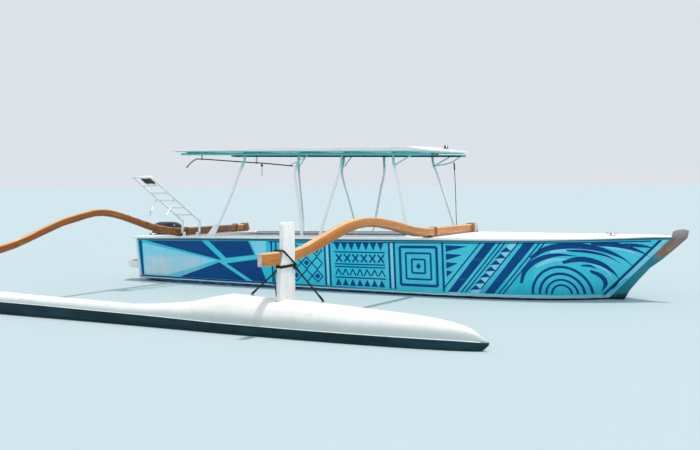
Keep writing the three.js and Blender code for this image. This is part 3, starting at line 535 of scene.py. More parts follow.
def rubber_finish(v):
    skin = noise(v, 160.0, 4.0)
    colour = mix(ramp(noise(v, 9.0, 4.0), 0.4, 0.7), (0.014, 0.014, 0.016), (0.06, 0.06, 0.062))
    return colour, ramp(skin, 0.3, 0.7, 0.55, 0.85), bump(skin, 0.3, 0.0015)


def lens_finish(v):
    ribs = (split(v)[2] * 160.0).math("PINGPONG", 0.5)
    haze = noise(v, 30.0, 4.0)
    colour = mix(ramp(haze, 0.4, 0.7), (0.025, 0.028, 0.032), (0.09, 0.10, 0.11))
    return colour, ramp(haze, 0.3, 0.7, 0.12, 0.3), bump(ribs, 0.3, 0.002)


def ply_finish(v):
    """Painted ply: boards show through the paint, and it has worn along the walkway."""
    colour, rough, height = use(AGEING, v, LILAC, LILAC_PALE, (0.40, 0.38, 0.36), 2.4, 0.6, 0.5, 0.42)
    wood, grain = use(GRAIN, v, (0.42, 0.30, 0.18), (0.26, 0.16, 0.09), 6.0)
    tread = ramp(split(v)[1].math("ABSOLUTE"), 0.42, 0.08) * ramp(noise(v, 5.0, 6.0, 0.7), 0.56, 0.64)
    return mix(tread * 0.7, colour, wood), rough + tread * 0.2, bump(grain * 0.5 + height, 0.2, 0.003)


def rope_finish(dark, light, pitch, strands):
    def build(v):
        height, fuzz = use(BRAID, add_node(v.tree, "ShaderNodeTexCoord", out="UV"), pitch, strands)
        # Strands lighter on their crowns and darker in the grooves between them: painted shade in the grooves.
        tone = mix(fuzz * 0.5, mix(height, dark, light), dark)
        patch = ramp(noise(v, 7.0, 4.0), 0.4, 0.7, 0.0, 0.35)
        return mix(patch, tone, light), ramp(fuzz, 0.2, 0.8, 0.7, 0.95), bump(height, 0.6, 0.003)

    return build


def propeller_finish(v):
    nick = ramp(noise(v, 26.0, 5.0, 0.7), 0.55, 0.62)
    colour = mix(nick, (0.02, 0.022, 0.025), (0.38, 0.36, 0.33))
    return colour, blend(nick, 0.3, 0.5), bump(nick, 0.2, 0.001)


# Columns: how it is laid out, specular level, coat weight, metallic
FINISH = {name: material(name, *look) for name, look in {
    "hull_paint": (hull_finish, 0.3),
    "blue_paint": (painted(DEEP_BLUE, BLUE_PALE, (0.006, 0.12, 0.33), 1.3, 0.7, 0.35, 0.40, scuff=0.40, streak=0.15,
                           chips=(0.03, 0.34, 0.44)), 0.15),
    "pale_paint": (painted((0.23, 0.70, 0.86), (0.36, 0.78, 0.90), (0.12, 0.48, 0.58), 1.3, 0.7, 0.3, 0.36, scuff=0.5,
                           streak=0.4, chips=(0.56, 0.72, 0.76), worn_aft=(0.60, 0.74, 0.80)), 0.3),
    "tread_white": (painted((0.88, 0.88, 0.87), (0.92, 0.92, 0.91), WHITE_STAIN, 8.0, 0.5, 0.3, 0.5, scuff=0.3,
                            relief=0.3, grit=260.0),),
    "white_paint": (painted(WHITE, WHITE_PALE, WHITE_STAIN, 1.7, 0.7, 0.22, 0.30, scuff=0.25, streak=0.3),),
    "deck_paint": (painted((0.87, 0.87, 0.86), (0.91, 0.91, 0.90), (0.60, 0.58, 0.54), 1.4, 0.7, 0.2, 0.42, scuff=0.2,
                           relief=0.3, grit=160.0),),
    "boom_front": (boom_finish("boom_front", (0.70, 0.27, 0.040), (0.46, 0.140, 0.016)), 0.3, 0.1),
    "boom_rear": (boom_finish("boom_rear", (0.40, 0.128, 0.018), (0.25, 0.066, 0.008)), 0.3, 0.1),
    "stem": (stem_finish, 0.3),
    "roof": (roof_finish, 0.5, 0.3),
    "float_top": (float_finish, 0.5, 0.2),
    "float_bottom": (bottom_finish, 0.2),
    "tube": (tube_finish, 0.5, 0.3),
    # Teal for the rails, bearers and drip edges under the roof: painted shade.
    "ceiling": (painted(CEILING, CEILING_PALE, CEILING_STAIN, 4.0, 0.6, 0.4, 0.4), 0.3),
    "steel": (steel_finish, 0.5, 0.0, 1.0),
    "cast": (cast_finish, 0.5, 0.0, 0.6),
    "motor": (motor_finish, 0.2, 0.05),
    "rubber": (rubber_finish, 0.3),
    "lens": (lens_finish, 0.5, 0.5),
    "ply": (ply_finish,),
    "black_rope": (rope_finish((0.004, 0.004, 0.005), (0.030, 0.030, 0.034), 55.0, 4.0), 0.2),
    "pale_rope": (rope_finish((0.30, 0.33, 0.36), (0.74, 0.78, 0.82), 60.0, 3.0), 0.2),
    "tan_rope": (rope_finish((0.20, 0.09, 0.03), (0.46, 0.25, 0.10), 60.0, 3.0), 0.2),
    "propeller": (propeller_finish, 0.5, 0.0, 0.3),
}.items()}


# Mesh making. A part is (vertices, faces, uv)

BODY_OF = {node: body for body, nodes in frame["record"]["behaviour"]["bodies"].items() for node in nodes}
WELD_DISTANCE = 2e-5
FLAT_ANGLE = 0.6
EDGE_ANGLE = 32


def finished(made, finish, smooth=35.0):
    """Shades an object's mesh and gives it its finish."""
    mesh = made.data
    mesh.shade_smooth()
    mesh.set_sharp_from_angle(angle=math.radians(smooth))
    mesh.materials.clear()
    mesh.materials.append(FINISH[finish])


def settle(made):
    """Makes the result of an object's modifiers its own mesh."""
    graph = bpy.context.evaluated_depsgraph_get()
    mesh = bpy.data.meshes.new_from_object(made.evaluated_get(graph))
    made.modifiers.clear()
    made.data = mesh


def piece(name, parts, finish, body="hull", smooth=35.0):
    """Several parts as one mesh at the origin, in its finish, riding on a body."""
    vertices, faces, uv = [], [], []
    for places, rings, pairs in parts:
        base = len(vertices)
        vertices += [tuple(place) for place in places]
        faces += [tuple(i + base for i in ring) for ring in rings]
        uv += pairs
    mesh = bpy.data.meshes.new(name)
    mesh.from_pydata(vertices, [], faces)
    if uv:
        layer = mesh.uv_layers.new(name="UVMap")
        layer.data.foreach_set("uv", [c for pair in uv for c in pair])
    mesh.validate()
    made = linked(name, mesh)
    finished(made, finish, smooth)
    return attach(made, body)


def run(first, last, count):
    """Numbers at even steps from the first to the last."""
    return [first + (last - first) * k / (count - 1) for k in range(count)]


def turns(count):
    """Cosine and sine at even steps of one turn."""
    return [(math.cos(a), math.sin(a)) for a in (2 * math.pi * k / count for k in range(count))]


def spline(points, step=0.02, closed=False):
    """Points along a smooth curve through the given ones."""
    p = [Vector(a) for a in points]
    p = [p[-1], *p, p[0], p[1]] if closed else [2 * p[0] - p[1], *p, 2 * p[-1] - p[-2]]
    out = []
    for before, a, b, after in zip(p, p[1:], p[2:], p[3:]):
        count = max(2, int((b - a).length / step))
        for k in range(count):
            t = k / count
            out.append(0.5 * (2 * a + (b - before) * t + (2 * before - 5 * a + 4 * b - after) * t * t
                              + (3 * a - before - 3 * b + after) * t ** 3))
    return out if closed else out + [p[-2]]


def cornered(points, radius, closed=True):
    """Straight runs whose corners are turned with a small radius, as a rope drawn tight round timber."""
    p = [Vector(a) for a in points]
    out = []
    for a, b, c in zip([p[-1], *p], p, [*p[1:], p[0]]):
        if not closed and (b is p[0] or b is p[-1]):
            out.append(b)
            continue
        r = min(radius, (a - b).length * 0.45, (c - b).length * 0.45)
        start, end = b + (a - b).normalized() * r, b + (c - b).normalized() * r
        out += [start * (1 - t) ** 2 + b * 2 * t * (1 - t) + end * t * t for t in run(0, 1, 4)]
    return out


def tube(points, radius, sides=8, closed=False):
    """A round tube through points, with U along it in metres and V round it."""
    p = [Vector(a) for a in points]
    n = len(p)
    rings, lengths, side = [], [0.0], None
    for i in range(n):
        before, after = (p[i - 1], p[(i + 1) % n]) if closed else (p[max(i - 1, 0)], p[min(i + 1, n - 1)])
        along = (after - before).normalized()
        if i:
            lengths.append(lengths[-1] + (p[i] - p[i - 1]).length)
        side = (side - along * side.dot(along)).normalized() if i else along.orthogonal().normalized()
        other = along.cross(side)
        rings.append([p[i] + (side * c + other * s) * radius for c, s in turns(sides)])
    rows = [[i * sides + k for k in range(sides)] for i in range(n)]
    if closed:
        twist = min(range(sides), key=lambda k: (rings[-1][0] - rings[0][k]).length)
        rows.append(rows[0][twist:] + rows[0][:twist])
        lengths.append(lengths[-1] + (p[0] - p[-1]).length)
    faces, uv = [], []
    for near, far, u0, u1 in zip(rows, rows[1:], lengths, lengths[1:]):
        for k in range(sides):
            k2 = (k + 1) % sides
            faces.append((near[k], near[k2], far[k2], far[k]))
            uv += [(u0, k / sides), (u0, (k + 1) / sides), (u1, (k + 1) / sides), (u1, k / sides)]
    if not closed:
        faces += [tuple(rows[0][::-1]), tuple(rows[-1])]
        uv += [(0, 0)] * sides + [(lengths[-1], 0)] * sides
    return [v for ring in rings for v in ring], faces, uv


def from_bmesh(work, bevel=0.0):
    """The part that a working mesh holds, with its edges bevelled."""
    if bevel:
        bmesh.ops.bevel(work, geom=list(work.edges), offset=bevel, segments=2, affect="EDGES", profile=0.6)
    bmesh.ops.recalc_face_normals(work, faces=work.faces)
    work.verts.index_update()
    vertices = [v.co.copy() for v in work.verts]
    faces = [tuple(v.index for v in f.verts) for f in work.faces]
    work.free()
    return vertices, faces, [(0, 0)] * sum(len(f) for f in faces)


def block(x, y, half_x, half_y, low, high, bevel):
    """A box round a place, from a low to a high level."""
    work = bmesh.new()
    for vertex in bmesh.ops.create_cube(work, size=1.0)["verts"]:
        a, b, c = vertex.co
        vertex.co = (x + a * 2 * half_x, y + b * 2 * half_y, (low + high) / 2 + c * (high - low))
    return from_bmesh(work, bevel)


def plate(outline, low, high, bevel):
    """A flat outline of (x, z) points given a thickness along Y."""
    work = bmesh.new()
    first, second = ([work.verts.new((x, y, z)) for x, z in outline] for y in (low, high))
    work.faces.new(first)
    work.faces.new(second[::-1])
    for i in range(len(outline)):
        j = (i + 1) % len(outline)
        work.faces.new((first[i], second[i], second[j], first[j]))
    return from_bmesh(work, bevel)


def rod(radius, length):
    return [(0.0, 0.0), (radius, 0.0), (radius, length), (0.0, length)]


def lathe(profile, start, axis, sides=16):
    """A turned shape: (radius, distance along the axis) points."""
    axis = Vector(axis).normalized()
    side = axis.orthogonal().normalized()
    other = axis.cross(side)
    work = bmesh.new()
    rings = []
    for radius, distance in profile:
        centre = Vector(start) + axis * distance
        steps = turns(sides) if radius else [(0, 0)]
        rings.append([work.verts.new(centre + (side * c + other * s) * radius) for c, s in steps])
    for a, b in zip(rings, rings[1:]):
        for k in range(sides):
            k2 = (k + 1) % sides
            corners = dict.fromkeys((a[k % len(a)], a[k2 % len(a)], b[k2 % len(b)], b[k % len(b)]))
            if len(corners) > 2:
                work.faces.new(list(corners))
    return from_bmesh(work)


def surface(node):
    """A search tree over a CAD node's faces."""
    mesh = NODES[node].data
    return BVHTree.FromPolygons([v.co.copy() for v in mesh.vertices], [tuple(p.vertices) for p in mesh.polygons])


def meet(tree, place, direction):
    """Where a line from a place first meets a surface, and the surface's direction there."""
    return tree.ray_cast(Vector(place), Vector(direction))[:2]


def meet_side(tree, x, z, side):
    """The same for a level line from outside."""
    return meet(tree, (x, side * 3.0, z), (0, -side, 0))


def traced(tree, xs, height, y, side):
    """Places (x, y, z) where level lines from y towards a side meet a wall; height gives z at x."""
    found = [(x, meet(tree, (x, y, height(x)), (0, side, 0))[0]) for x in xs]
    return [(x, place.y, height(x)) for x, place in found if place is not None]


def dressed(nodes, finish, bevel=0.0, smooth=32.0):
    """Welded copies of CAD nodes with soft edges and smooth shading, which stand for them."""
    for node in nodes.split():
        work = bmesh.new()
        work.from_mesh(NODES[node].data)
        bmesh.ops.remove_doubles(work, verts=work.verts, dist=WELD_DISTANCE)
        if bevel:
            bmesh.ops.dissolve_limit(work, angle_limit=math.radians(FLAT_ANGLE), verts=work.verts, edges=work.edges)
        mesh = bpy.data.meshes.new(node + "_skin")
        work.to_mesh(mesh)
        work.free()
        made = linked(node + "_skin", mesh)
        if bevel:
            modifier = made.modifiers.new("edges", "BEVEL")
            modifier.width = bevel
            modifier.segments = 2
            modifier.limit_method = "ANGLE"
            modifier.angle_limit = math.radians(EDGE_ANGLE)
            modifier.use_clamp_overlap = True
            settle(made)
        finished(made, finish, smooth)
        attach(made, BODY_OF[node])
        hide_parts(node)


# Repeated pieces

SCREW_SIDES = 10
LOOSE_TURN = 0.004
LOOSE_SEED = 3


def repeat_tree(name, turned):
    """Sets one shape on every point of the given mesh, turned to the point's own direction."""
    tree = bpy.data.node_groups.new(name, "GeometryNodeTree")
    for key in ("Places", "Width", "Depth", "Height"):
        kind = "NodeSocketGeometry" if key == "Places" else "NodeSocketFloat"
        tree.interface.new_socket(name=key, in_out="INPUT", socket_type=kind)
    tree.interface.new_socket(name="Pieces", in_out="OUTPUT", socket_type="NodeSocketGeometry")
    places, width, depth, height, _ = outputs(add_node(tree, "NodeGroupInput", out=None))
    if turned:
        inputs = {"Vertices": SCREW_SIDES, "Radius": width, "Depth": height}
        shape = add_node(tree, "GeometryNodeMeshCylinder", inputs)
    else:
        shape = add_node(tree, "GeometryNodeMeshCube", {"Size": join(width, depth, height)})
    direction = add_node(tree, "GeometryNodeInputNamedAttribute", {"Name": "facing"}, data_type="FLOAT_VECTOR")
    turn = add_node(tree, "FunctionNodeAlignRotationToVector", {"Vector": direction}, axis="Z")
    inputs = {2: -LOOSE_TURN, 3: LOOSE_TURN, "Seed": LOOSE_SEED}
    spin = add_node(tree, "FunctionNodeRandomValue", inputs, 1, data_type="FLOAT")
    placed = add_node(tree, "GeometryNodeInstanceOnPoints", {"Points": places, "Instance": shape, "Rotation": turn})
    loose = add_node(tree, "GeometryNodeRotateInstances", {"Instances": placed, "Rotation": join(0.0, 0.0, spin)})
    real = add_node(tree, "GeometryNodeRealizeInstances", {0: loose})
    add_node(tree, "NodeGroupOutput", {0: real}, None)
    return tree


SCREWS = repeat_tree("screws_on_points", True)
BOARDS = repeat_tree("boards_on_points", False)


def repeated(name, tree, places, size, finish="steel", facing=UP):
    """Screws or boards of one size at places; facing is one direction, or a list with one for each place."""
    mesh = bpy.data.meshes.new(name)
    mesh.from_pydata([tuple(p) for p in places], [], [])
    directions = facing if isinstance(facing, list) else [facing] * len(places)
    layer = mesh.attributes.new("facing", "FLOAT_VECTOR", "POINT")
    layer.data.foreach_set("vector", [c for d in directions for c in Vector(d).normalized()])
    made = linked(name, mesh)
    modifier = made.modifiers.new("places", "NODES")
    modifier.node_group = tree
    values = dict(zip(("Width", "Depth", "Height"), size))
    for item in tree.interface.items_tree:
        if item.name in values:
            modifier[item.identifier] = values[item.name]
    settle(made)
    finished(made, finish)
    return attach(made, "hull")


# Painted pattern. An outline is a list of (x, z) places on the side

HULL = surface("hull_shell")
FOOT_X, FOOT_Z, STEM_RAKE = 3.19, -0.12, 0.971
BOW_STEP = 0.004
FILM_EDGE_STEP = 0.05
FILM_GRID = 0.06
FILM_UNDER = 0.001
PALE_LIFT, BLUE_LIFT = 0.0012, 0.0022


def sheer_z(x):
    return SHEER_AFT_Z + SHEER_RISE * x


def panel(x, h):
    """A place on the painted side: h is 0 at its lower edge and 1 at its upper one."""
    low, high = BOOT_Z - BOOT_FALL * x + 0.034, sheer_z(x) - 0.033
    return x, low + h * (high - low)


def bow_x(z, side):
    """Fore end of the hull's side at a height."""
    x = FOOT_X + (z - FOOT_Z) * STEM_RAKE - 0.25
    while meet_side(HULL, x + BOW_STEP, z, side)[0] is not None:
        x += BOW_STEP
    return x


def stroke(points, width, taper=False):
    """A band of paint along a smooth line of (x, z) points."""
    line = [Vector((x, 0, z)) for x, z in points]
    if len(line) > 2:
        line = spline(line, 0.04)
    last = len(line) - 1
    left, right = [], []
    for i, p in enumerate(line):
        d = (line[min(i + 1, last)] - line[max(i - 1, 0)]).normalized()
        w = width * 0.5
        if taper:
            w *= 0.12 + 0.88 * math.sin(math.pi * min(1.0, 0.12 + i / last * 0.95)) ** 0.8
        left.append((p.x - d.z * w, p.z + d.x * w))
        right.append((p.x + d.z * w, p.z - d.x * w))
    return left + right[::-1]


def shape(*places):
    return [panel(*p) for p in places]


def line(width, *places, taper=False):
    return stroke(shape(*places), width, taper)


def sides_of(width, *corners):
    """A line along each side of a closed figure."""
    return [line(width, a, b) for a, b in zip(corners, corners[1:] + corners[:1])]


def dense(outline):
    out = []
    for a, b in zip(outline, outline[1:] + outline[:1]):
        count = max(1, int(math.dist(a, b) / FILM_EDGE_STEP))
        out += [(a[0] + (b[0] - a[0]) * k / count, a[1] + (b[1] - a[1]) * k / count) for k in range(count)]
    return out


def grid_steps(values):
    """Steps of the film's grid between the least and the greatest of some values."""
    place = min(values) + FILM_GRID / 2
    while place < max(values):
        yield place
        place += FILM_GRID


def paint_film(name, outlines, finish, side, lift):
    """Thin closed films of paint that follow the hull's side, one for each outline."""
    parts = []
    for outline in outlines:
        ring = dense(outline)
        xs, zs = zip(*ring)
        inner = [(x, z) for x in grid_steps(xs) for z in grid_steps(zs)]
        points = [Vector(p) for p in ring + inner]
        flat, _, triangles = delaunay_2d_cdt(points, [], [list(range(len(ring)))], 1, 1e-6)[:3]
        used = sorted({i for triangle in triangles for i in triangle})
        number = {old: new for new, old in enumerate(used)}
        top, low = [], []
        for i in used:
            place, normal = meet_side(HULL, flat[i].x, flat[i].y, side)
            if place is None:
                break
            if normal.y * side < 0:
                normal = -normal
            top.append(place + normal * lift)
            low.append(place - normal * FILM_UNDER)
        n = len(top)
        if n < len(used) or not triangles:
            continue
        faces, edges = [], {}
        for triangle in triangles:
            corners = [number[i] for i in triangle][::side]
            faces += [tuple(corners[::-1]), tuple(i + n for i in corners)]
            edges.update(dict.fromkeys(zip(corners, corners[1:] + corners[:1])))
        faces += [(a, b, b + n, a + n) for a, b in edges if (b, a) not in edges]
        parts.append((top + low, faces, []))
    piece(name, parts, finish, smooth=50.0)


def bow_border(near, far, bottom):
    """A strip along the stem between two distances from its edge."""
    levels = run(panel(3.3, 0.0)[1] - bottom, panel(4.0, 1.0)[1], 13)
    edge = [(min(bow_x(z, -1), bow_x(z, 1)), z) for z in levels]
    return [(x - near, z) for x, z in edge] + [(x - far, z) for x, z in reversed(edge)]


BLUE_WEDGES = (
    ((-4.24, 0.0), (-4.19, 0.0), (-4.19, 1.0), (-4.255, 1.0)),
    ((-4.10, 1.0), (-2.92, 1.0), (-2.55, 0.50)),
    ((-3.42, 0.0), (-2.60, 0.44), (-2.10, 0.0)),
    ((-2.78, 1.0), (-2.02, 1.0), (-1.92, 0.66), (-2.46, 0.56)),
    ((-2.46, 0.42), (-1.86, 0.55), (-1.72, 0.0), (-1.98, 0.0)),
)
PALE_WEDGES = (
    ((-4.17, 0.93), (-4.17, 0.05), (-3.62, 0.05), (-2.64, 0.49)),
    ((-2.46, 0.50), (-1.88, 0.60), (-1.70, 0.60), (-1.70, 1.0), (-1.98, 1.0), (-1.88, 0.62)),
    ((-0.64, 0.02), (-0.60, 0.02), (-0.60, 0.98), (-0.64, 0.98)),
    ((0.42, 0.02), (0.46, 0.02), (0.46, 0.98), (0.42, 0.98)),
    ((1.60, 0.0), (1.72, 0.0), (2.30, 0.98), (2.18, 0.98)),
)
# Waves and crescents at the bow: width, then places
WAVES = (
    (0.050, (2.30, 0.22), (2.36, 0.46), (2.52, 0.66), (2.76, 0.76), (3.02, 0.74)),
    (0.062, (2.44, 0.70), (2.66, 0.88), (2.98, 0.93), (3.30, 0.86), (3.54, 0.70), (3.66, 0.53)),
    (0.056, (2.84, 0.62), (3.06, 0.68), (3.28, 0.60), (3.42, 0.44), (3.48, 0.28)),
    (0.046, (3.16, 0.46), (3.28, 0.36), (3.32, 0.22), (3.26, 0.06)),
    (0.030, (2.90, 0.845), (3.14, 0.82), (3.36, 0.74), (3.52, 0.60)),
    (0.050, (3.20, 0.96), (3.50, 0.93), (3.74, 0.82), (3.86, 0.70)),
    (0.034, (3.58, 0.94), (3.80, 0.90), (3.92, 0.86)),
    (0.030, (3.36, 0.10), (3.42, 0.18), (3.50, 0.30)),
    (0.024, (3.06, 0.56), (3.18, 0.55), (3.24, 0.48)),
)
WAVE_BOLDNESS = 1.3
CRESCENTS = (
    (0.062, (2.70, 0.82), (2.98, 0.86), (3.26, 0.79), (3.46, 0.64)),
    (0.046, (2.50, 0.54), (2.70, 0.66), (2.94, 0.68)),
    (0.050, (3.36, 0.91), (3.60, 0.84), (3.76, 0.72)),
    (0.040, (3.16, 0.62), (3.34, 0.48), (3.40, 0.30)),
)
FINE_LINE = 0.018
DIAMOND_WIDE, DIAMOND_TALL = 0.185, 0.28
TOOTH_STEP, CROSS_STEP = 0.119, 0.138


def blue_shapes():
    """Dark shapes: big triangles aft, framed line work amidships, slanted bands, arcs and waves at the bow."""
    out = [shape(*places) for places in BLUE_WEDGES]
    out += [line(0.030, (x, 0.0), (x, 1.0)) for x in (-1.60, -1.52, -0.66, -0.58, 0.40, 0.48, 1.22)]
    for k in range(4):
        x = -1.45 + DIAMOND_WIDE * k
        for h in (0.06, 0.36, 0.66):
            middle, centre = x + DIAMOND_WIDE / 2, h + DIAMOND_TALL / 2
            out += sides_of(FINE_LINE, (x, centre), (middle, h + DIAMOND_TALL), (x + DIAMOND_WIDE, centre), (middle, h))
            if (k + int(h * 10)) % 2:
                top, low = (middle, centre + 0.07), (middle, centre - 0.07)
                out.append(shape((x + 0.045, centre), top, (x + 0.14, centre), low))
    out += [line(FINE_LINE, (-0.50, h), (0.33, h)) for h in (0.77, 0.50, 0.44, 0.20)]
    for k in range(7):
        x = -0.50 + TOOTH_STEP * k
        out += [shape((x, 0.98), (x + 0.105, 0.98), (x + 0.052, 0.81)),
                shape((x, 0.02), (x + 0.052, 0.17), (x + 0.105, 0.02)),
                line(0.019, (x + 0.01, 0.25), (x + 0.058, 0.39)), line(0.019, (x + 0.058, 0.39), (x + 0.109, 0.25))]
    for k in range(6):
        x = -0.475 + CROSS_STEP * k
        out += [line(0.025, (x, 0.55), (x + 0.10, 0.72)), line(0.025, (x, 0.72), (x + 0.10, 0.55))]
    for width, grow in ((0.038, 0.28), (0.026, 0.19), (0.026, 0.10)):
        x0, x1, h0, h1 = 0.85 - grow, 0.85 + grow, 0.5 - grow * 1.42, 0.5 + grow * 1.42
        out += sides_of(width, (x0, h0), (x1, h0), (x1, h1), (x0, h1))
    out.append(shape((0.81, 0.5), (0.85, 0.57), (0.89, 0.5), (0.85, 0.43)))
    for x in (1.28, 1.80):
        out += [shape((x, 0.0), (x + 0.13, 0.0), (x + 0.72, 1.0), (x + 0.57, 1.0))]
        out += [line(FINE_LINE, (x + low, h), (x + high, 1.0))
                for low, h, high in ((0.19, 0.0, 0.78), (0.25, 0.0, 0.84), (-0.05, 0.08, 0.50))]
    for k in range(7):
        h = 0.06 + 0.125 * k
        x = 1.565 + 0.59 * h
        out.append(shape((x, h), (x + 0.15, h + 0.015), (x + 0.085, h + 0.10)))
    for k in range(4):
        h = 0.30 + 0.17 * k
        out.append(shape((1.27, h), (1.27, h + 0.13), (1.36 + 0.075 * k, h + 0.11)))
    x, z = panel(2.80, 0.02)
    for radius, width in ((0.12, 0.026), (0.19, 0.026), (0.27, 0.034), (0.36, 0.034)):
        arc = [(x - radius * math.cos(a), z + radius * 1.05 * math.sin(a)) for a in run(0, math.pi, 13)]
        out.append(stroke(arc, width))
    out += [line(WAVE_BOLDNESS * width, *places, taper=True) for width, *places in WAVES]
    out += [line(0.016, *[(x, 0.985) for x in (-1.66, 0.0, 2.0, 3.9)]), bow_border(0.076, 0.116, 0.0)]
    return out


def pale_shapes():
    """Pale wedges aft, pale strips amidships, crescents and a border at the bow."""
    out = [shape(*places) for places in PALE_WEDGES]
    out += [line(width, *places, taper=True) for width, *places in CRESCENTS]
    (aft, low_aft), (fore, low_fore) = shape((1.30, 0), (3.26, 0))
    strip = [(aft, low_aft - 0.030), (fore, low_fore - 0.030), (fore, low_fore - 0.006), (aft, low_aft - 0.006)]
    return out + [bow_border(0.006, 0.072, 0.030), strip]


def make_pattern():
    for side, name in SIDES:
        paint_film("pattern_pale_" + name, pale_shapes(), "pale_paint", side, PALE_LIFT)
        paint_film("pattern_blue_" + name, blue_shapes(), "blue_paint", side, BLUE_LIFT)


# Hull and decks

DECKS = {n: surface(n) for n in ("deck_aft", "deck_fore", "side_deck_starboard", "side_deck_port")}
FLOOR_BOARD_Z = 0.1125
SLAT_Z = 0.4725
SLAT_ROWS = [x + dx for x in BENCHES for dx in (-0.093, 0.0, 0.093)]
CLEATS = "cleat_bow cleat_stern_starboard cleat_stern_port"
RIM_SCREW_STEP = 0.30
INWALE_RADIUS = 0.014


def top_z(tree, x, y):
    """Height of a surface under a place, or None."""
    place = meet(tree, (x, y, 3.0), (0, 0, -1))[0]
    return None if place is None else place.z


def deck_z(x, y):
    """Height of the deck's top under a place."""
    return max(z for z in (top_z(tree, x, y) for tree in DECKS.values()) if z is not None)


def rim_point(x, side):
    """A place on the outer face of the white rim."""
    middle = "side_deck_" + dict(SIDES)[side]
    tree = DECKS["deck_aft" if x < -2.95 else "deck_fore" if x > 0.94 else middle]
    return meet_side(tree, x, sheer_z(x) + (0.018 if x < 1.5 else 0.012), side)


def foot_plate(node, half_x, half_y, overlap):
    """A plate on the deck under a fitting."""
    low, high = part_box(node)
    x, y = (low.x + high.x) / 2, (low.y + high.y) / 2
    return block(x, y, half_x, half_y, deck_z(x, y) - 0.002, low.z + overlap, 0.002)


def make_hull():
    dressed("hull_shell", "hull_paint", smooth=24)
    dressed(" ".join(DECKS), "deck_paint", bevel=0.006)
    dressed("transom_starboard transom_port motor_well motor_board transom_step", "white_paint", bevel=0.004)
    dressed("stem", "stem", bevel=0.007)
    dressed("bulkhead_aft bulkhead_fore floor bench_1 bench_2 bench_3 bench_4", "ply", bevel=0.003)
    NODES["keel"].material_slots[0].material = FINISH["float_bottom"]
    rim = [rim_point(-4.25 + RIM_SCREW_STEP * k, side) for side in (-1, 1) for k in range(28)]
    rim = [(place, normal) for place, normal in rim if place is not None]
    screws = [place + normal * 0.0006 for place, normal in rim]
    repeated("rim_screws", SCREWS, screws, (0.005, 0.0, 0.003), facing=[normal for _, normal in rim])
    cockpit_details()
    make_stern()


def cockpit_details():
    boards = [(-1.005, -0.68 + 0.17 * k, FLOOR_BOARD_Z) for k in range(9)]
    repeated("floor_boards", BOARDS, boards, (3.84, 0.155, 0.008), "ply")
    repeated("bench_slats", BOARDS, [(x, 0.0, SLAT_Z) for x in SLAT_ROWS], (0.082, 1.50, 0.008), "ply")
    screws = [(x + dx, y, SLAT_Z + 0.005) for x in SLAT_ROWS for dx in (-0.025, 0.025) for y in (-0.70, 0.0, 0.70)]
    repeated("bench_screws", SCREWS, screws, (0.004, 0.0, 0.0025))
    for side, name in SIDES:
        for level, label in ((0.40, "riser"), (0.655, "inwale")):
            wall = traced(HULL, run(-2.93, 0.92, 33), lambda x: level, 0.0, side)
            path = [(x, y - side * INWALE_RADIUS, z) for x, y, z in wall]
            piece(f"{label}_{name}", [tube(path, INWALE_RADIUS, 6)], "ply")
        wall = traced(DECKS["side_deck_" + name], run(-2.945, 0.935, 40), lambda x: sheer_z(x) + 0.015, 0.0, side)
        lip = [(x, y, deck_z(x, y + side * 0.02) + 0.006) for x, y, _ in wall]
        piece(f"cockpit_edge_{name}", [tube(lip, 0.011)], "white_paint")


def make_stern():
    well = [(x, y, deck_z(x, y) + 0.001) for y in (-0.445, 0.445) for x in run(-4.30, -3.79, 4)]
    repeated("well_screws", SCREWS, well, (0.006, 0.0, 0.003))
    low, high = deck_z(-4.0, 0.5) - 0.004, deck_z(-4.0, 0.5) + 0.012
    edge = [(-4.37, -0.405, low), (-3.655, -0.405, high), (-3.655, 0.405, high), (-4.37, 0.405, low)]
    piece("well_coaming", [tube(cornered(edge, 0.03, False), 0.013)], "rubber")
    ribs = [(-4.34 - 0.026 * k, -0.635, 0.3262) for k in range(8)]
    repeated("step_ribs", BOARDS, ribs, (0.011, 0.20, 0.004), "rubber")
    bolts = [(x, -0.7505, z) for x in (-4.45, -4.36) for z in (0.235, 0.29)]
    repeated("step_bolts", SCREWS, bolts, (0.009, 0.0, 0.006), facing=(0, -1, 0))
    plugs = [(-4.3105, y, 0.09) for y in (-0.62, 0.62)]
    repeated("drain_plugs", SCREWS, plugs, (0.022, 0.0, 0.012), facing=(-1, 0, 0.03))
    dressed(CLEATS, "steel", smooth=40)
    piece("cleat_feet", [foot_plate(node, 0.045, 0.018, 0.001) for node in CLEATS.split()], "steel")


# Outrigger

AMA = surface("ama_top")
STRAP_Y = 0.70
LASHING_RADIUS = 0.0075
WRAP_COUNT, WRAP_STEP = 7, 0.0155
STAY_RADIUS, SPLICE_RADIUS = 0.0095, 0.0125
# Height of the line between the float's white top and dark bottom: (x, z)
CHINE = ((-4.35, 0.110), (-3.85, 0.148), (-3.45, 0.160), (-2.30, 0.150), (-1.35, 0.137), (-0.461, 0.128), (0.26, 0.115),
         (0.882, 0.110), (1.963, 0.105), (2.626, 0.103), (3.045, 0.099), (3.228, 0.090), (3.33, 0.085))


def make_outrigger():
    dressed("boom_front", "boom_front", bevel=0.003, smooth=28)
    dressed("boom_rear", "boom_rear", bevel=0.003, smooth=28)
    dressed("post_front post_rear", "white_paint", bevel=0.005)
    dressed("ama_top", "float_top", smooth=40)
    dressed("ama_bottom", "float_bottom", smooth=40)
    for node in ("stay_front_fore", "stay_front_aft", "stay_rear_aft"):
        stay_rope(node)
    lashings("front", FRONT_BOOM_X, inner=-4.505, outer=-4.735, under=0.752, over=0.884, low_outer=-4.785)
    lashings("rear", REAR_BOOM_X, inner=-4.630, outer=-4.842, under=0.692, over=0.800, low_outer=-4.858)
    boom_seats()
    inboard_wraps()
    float_beads()


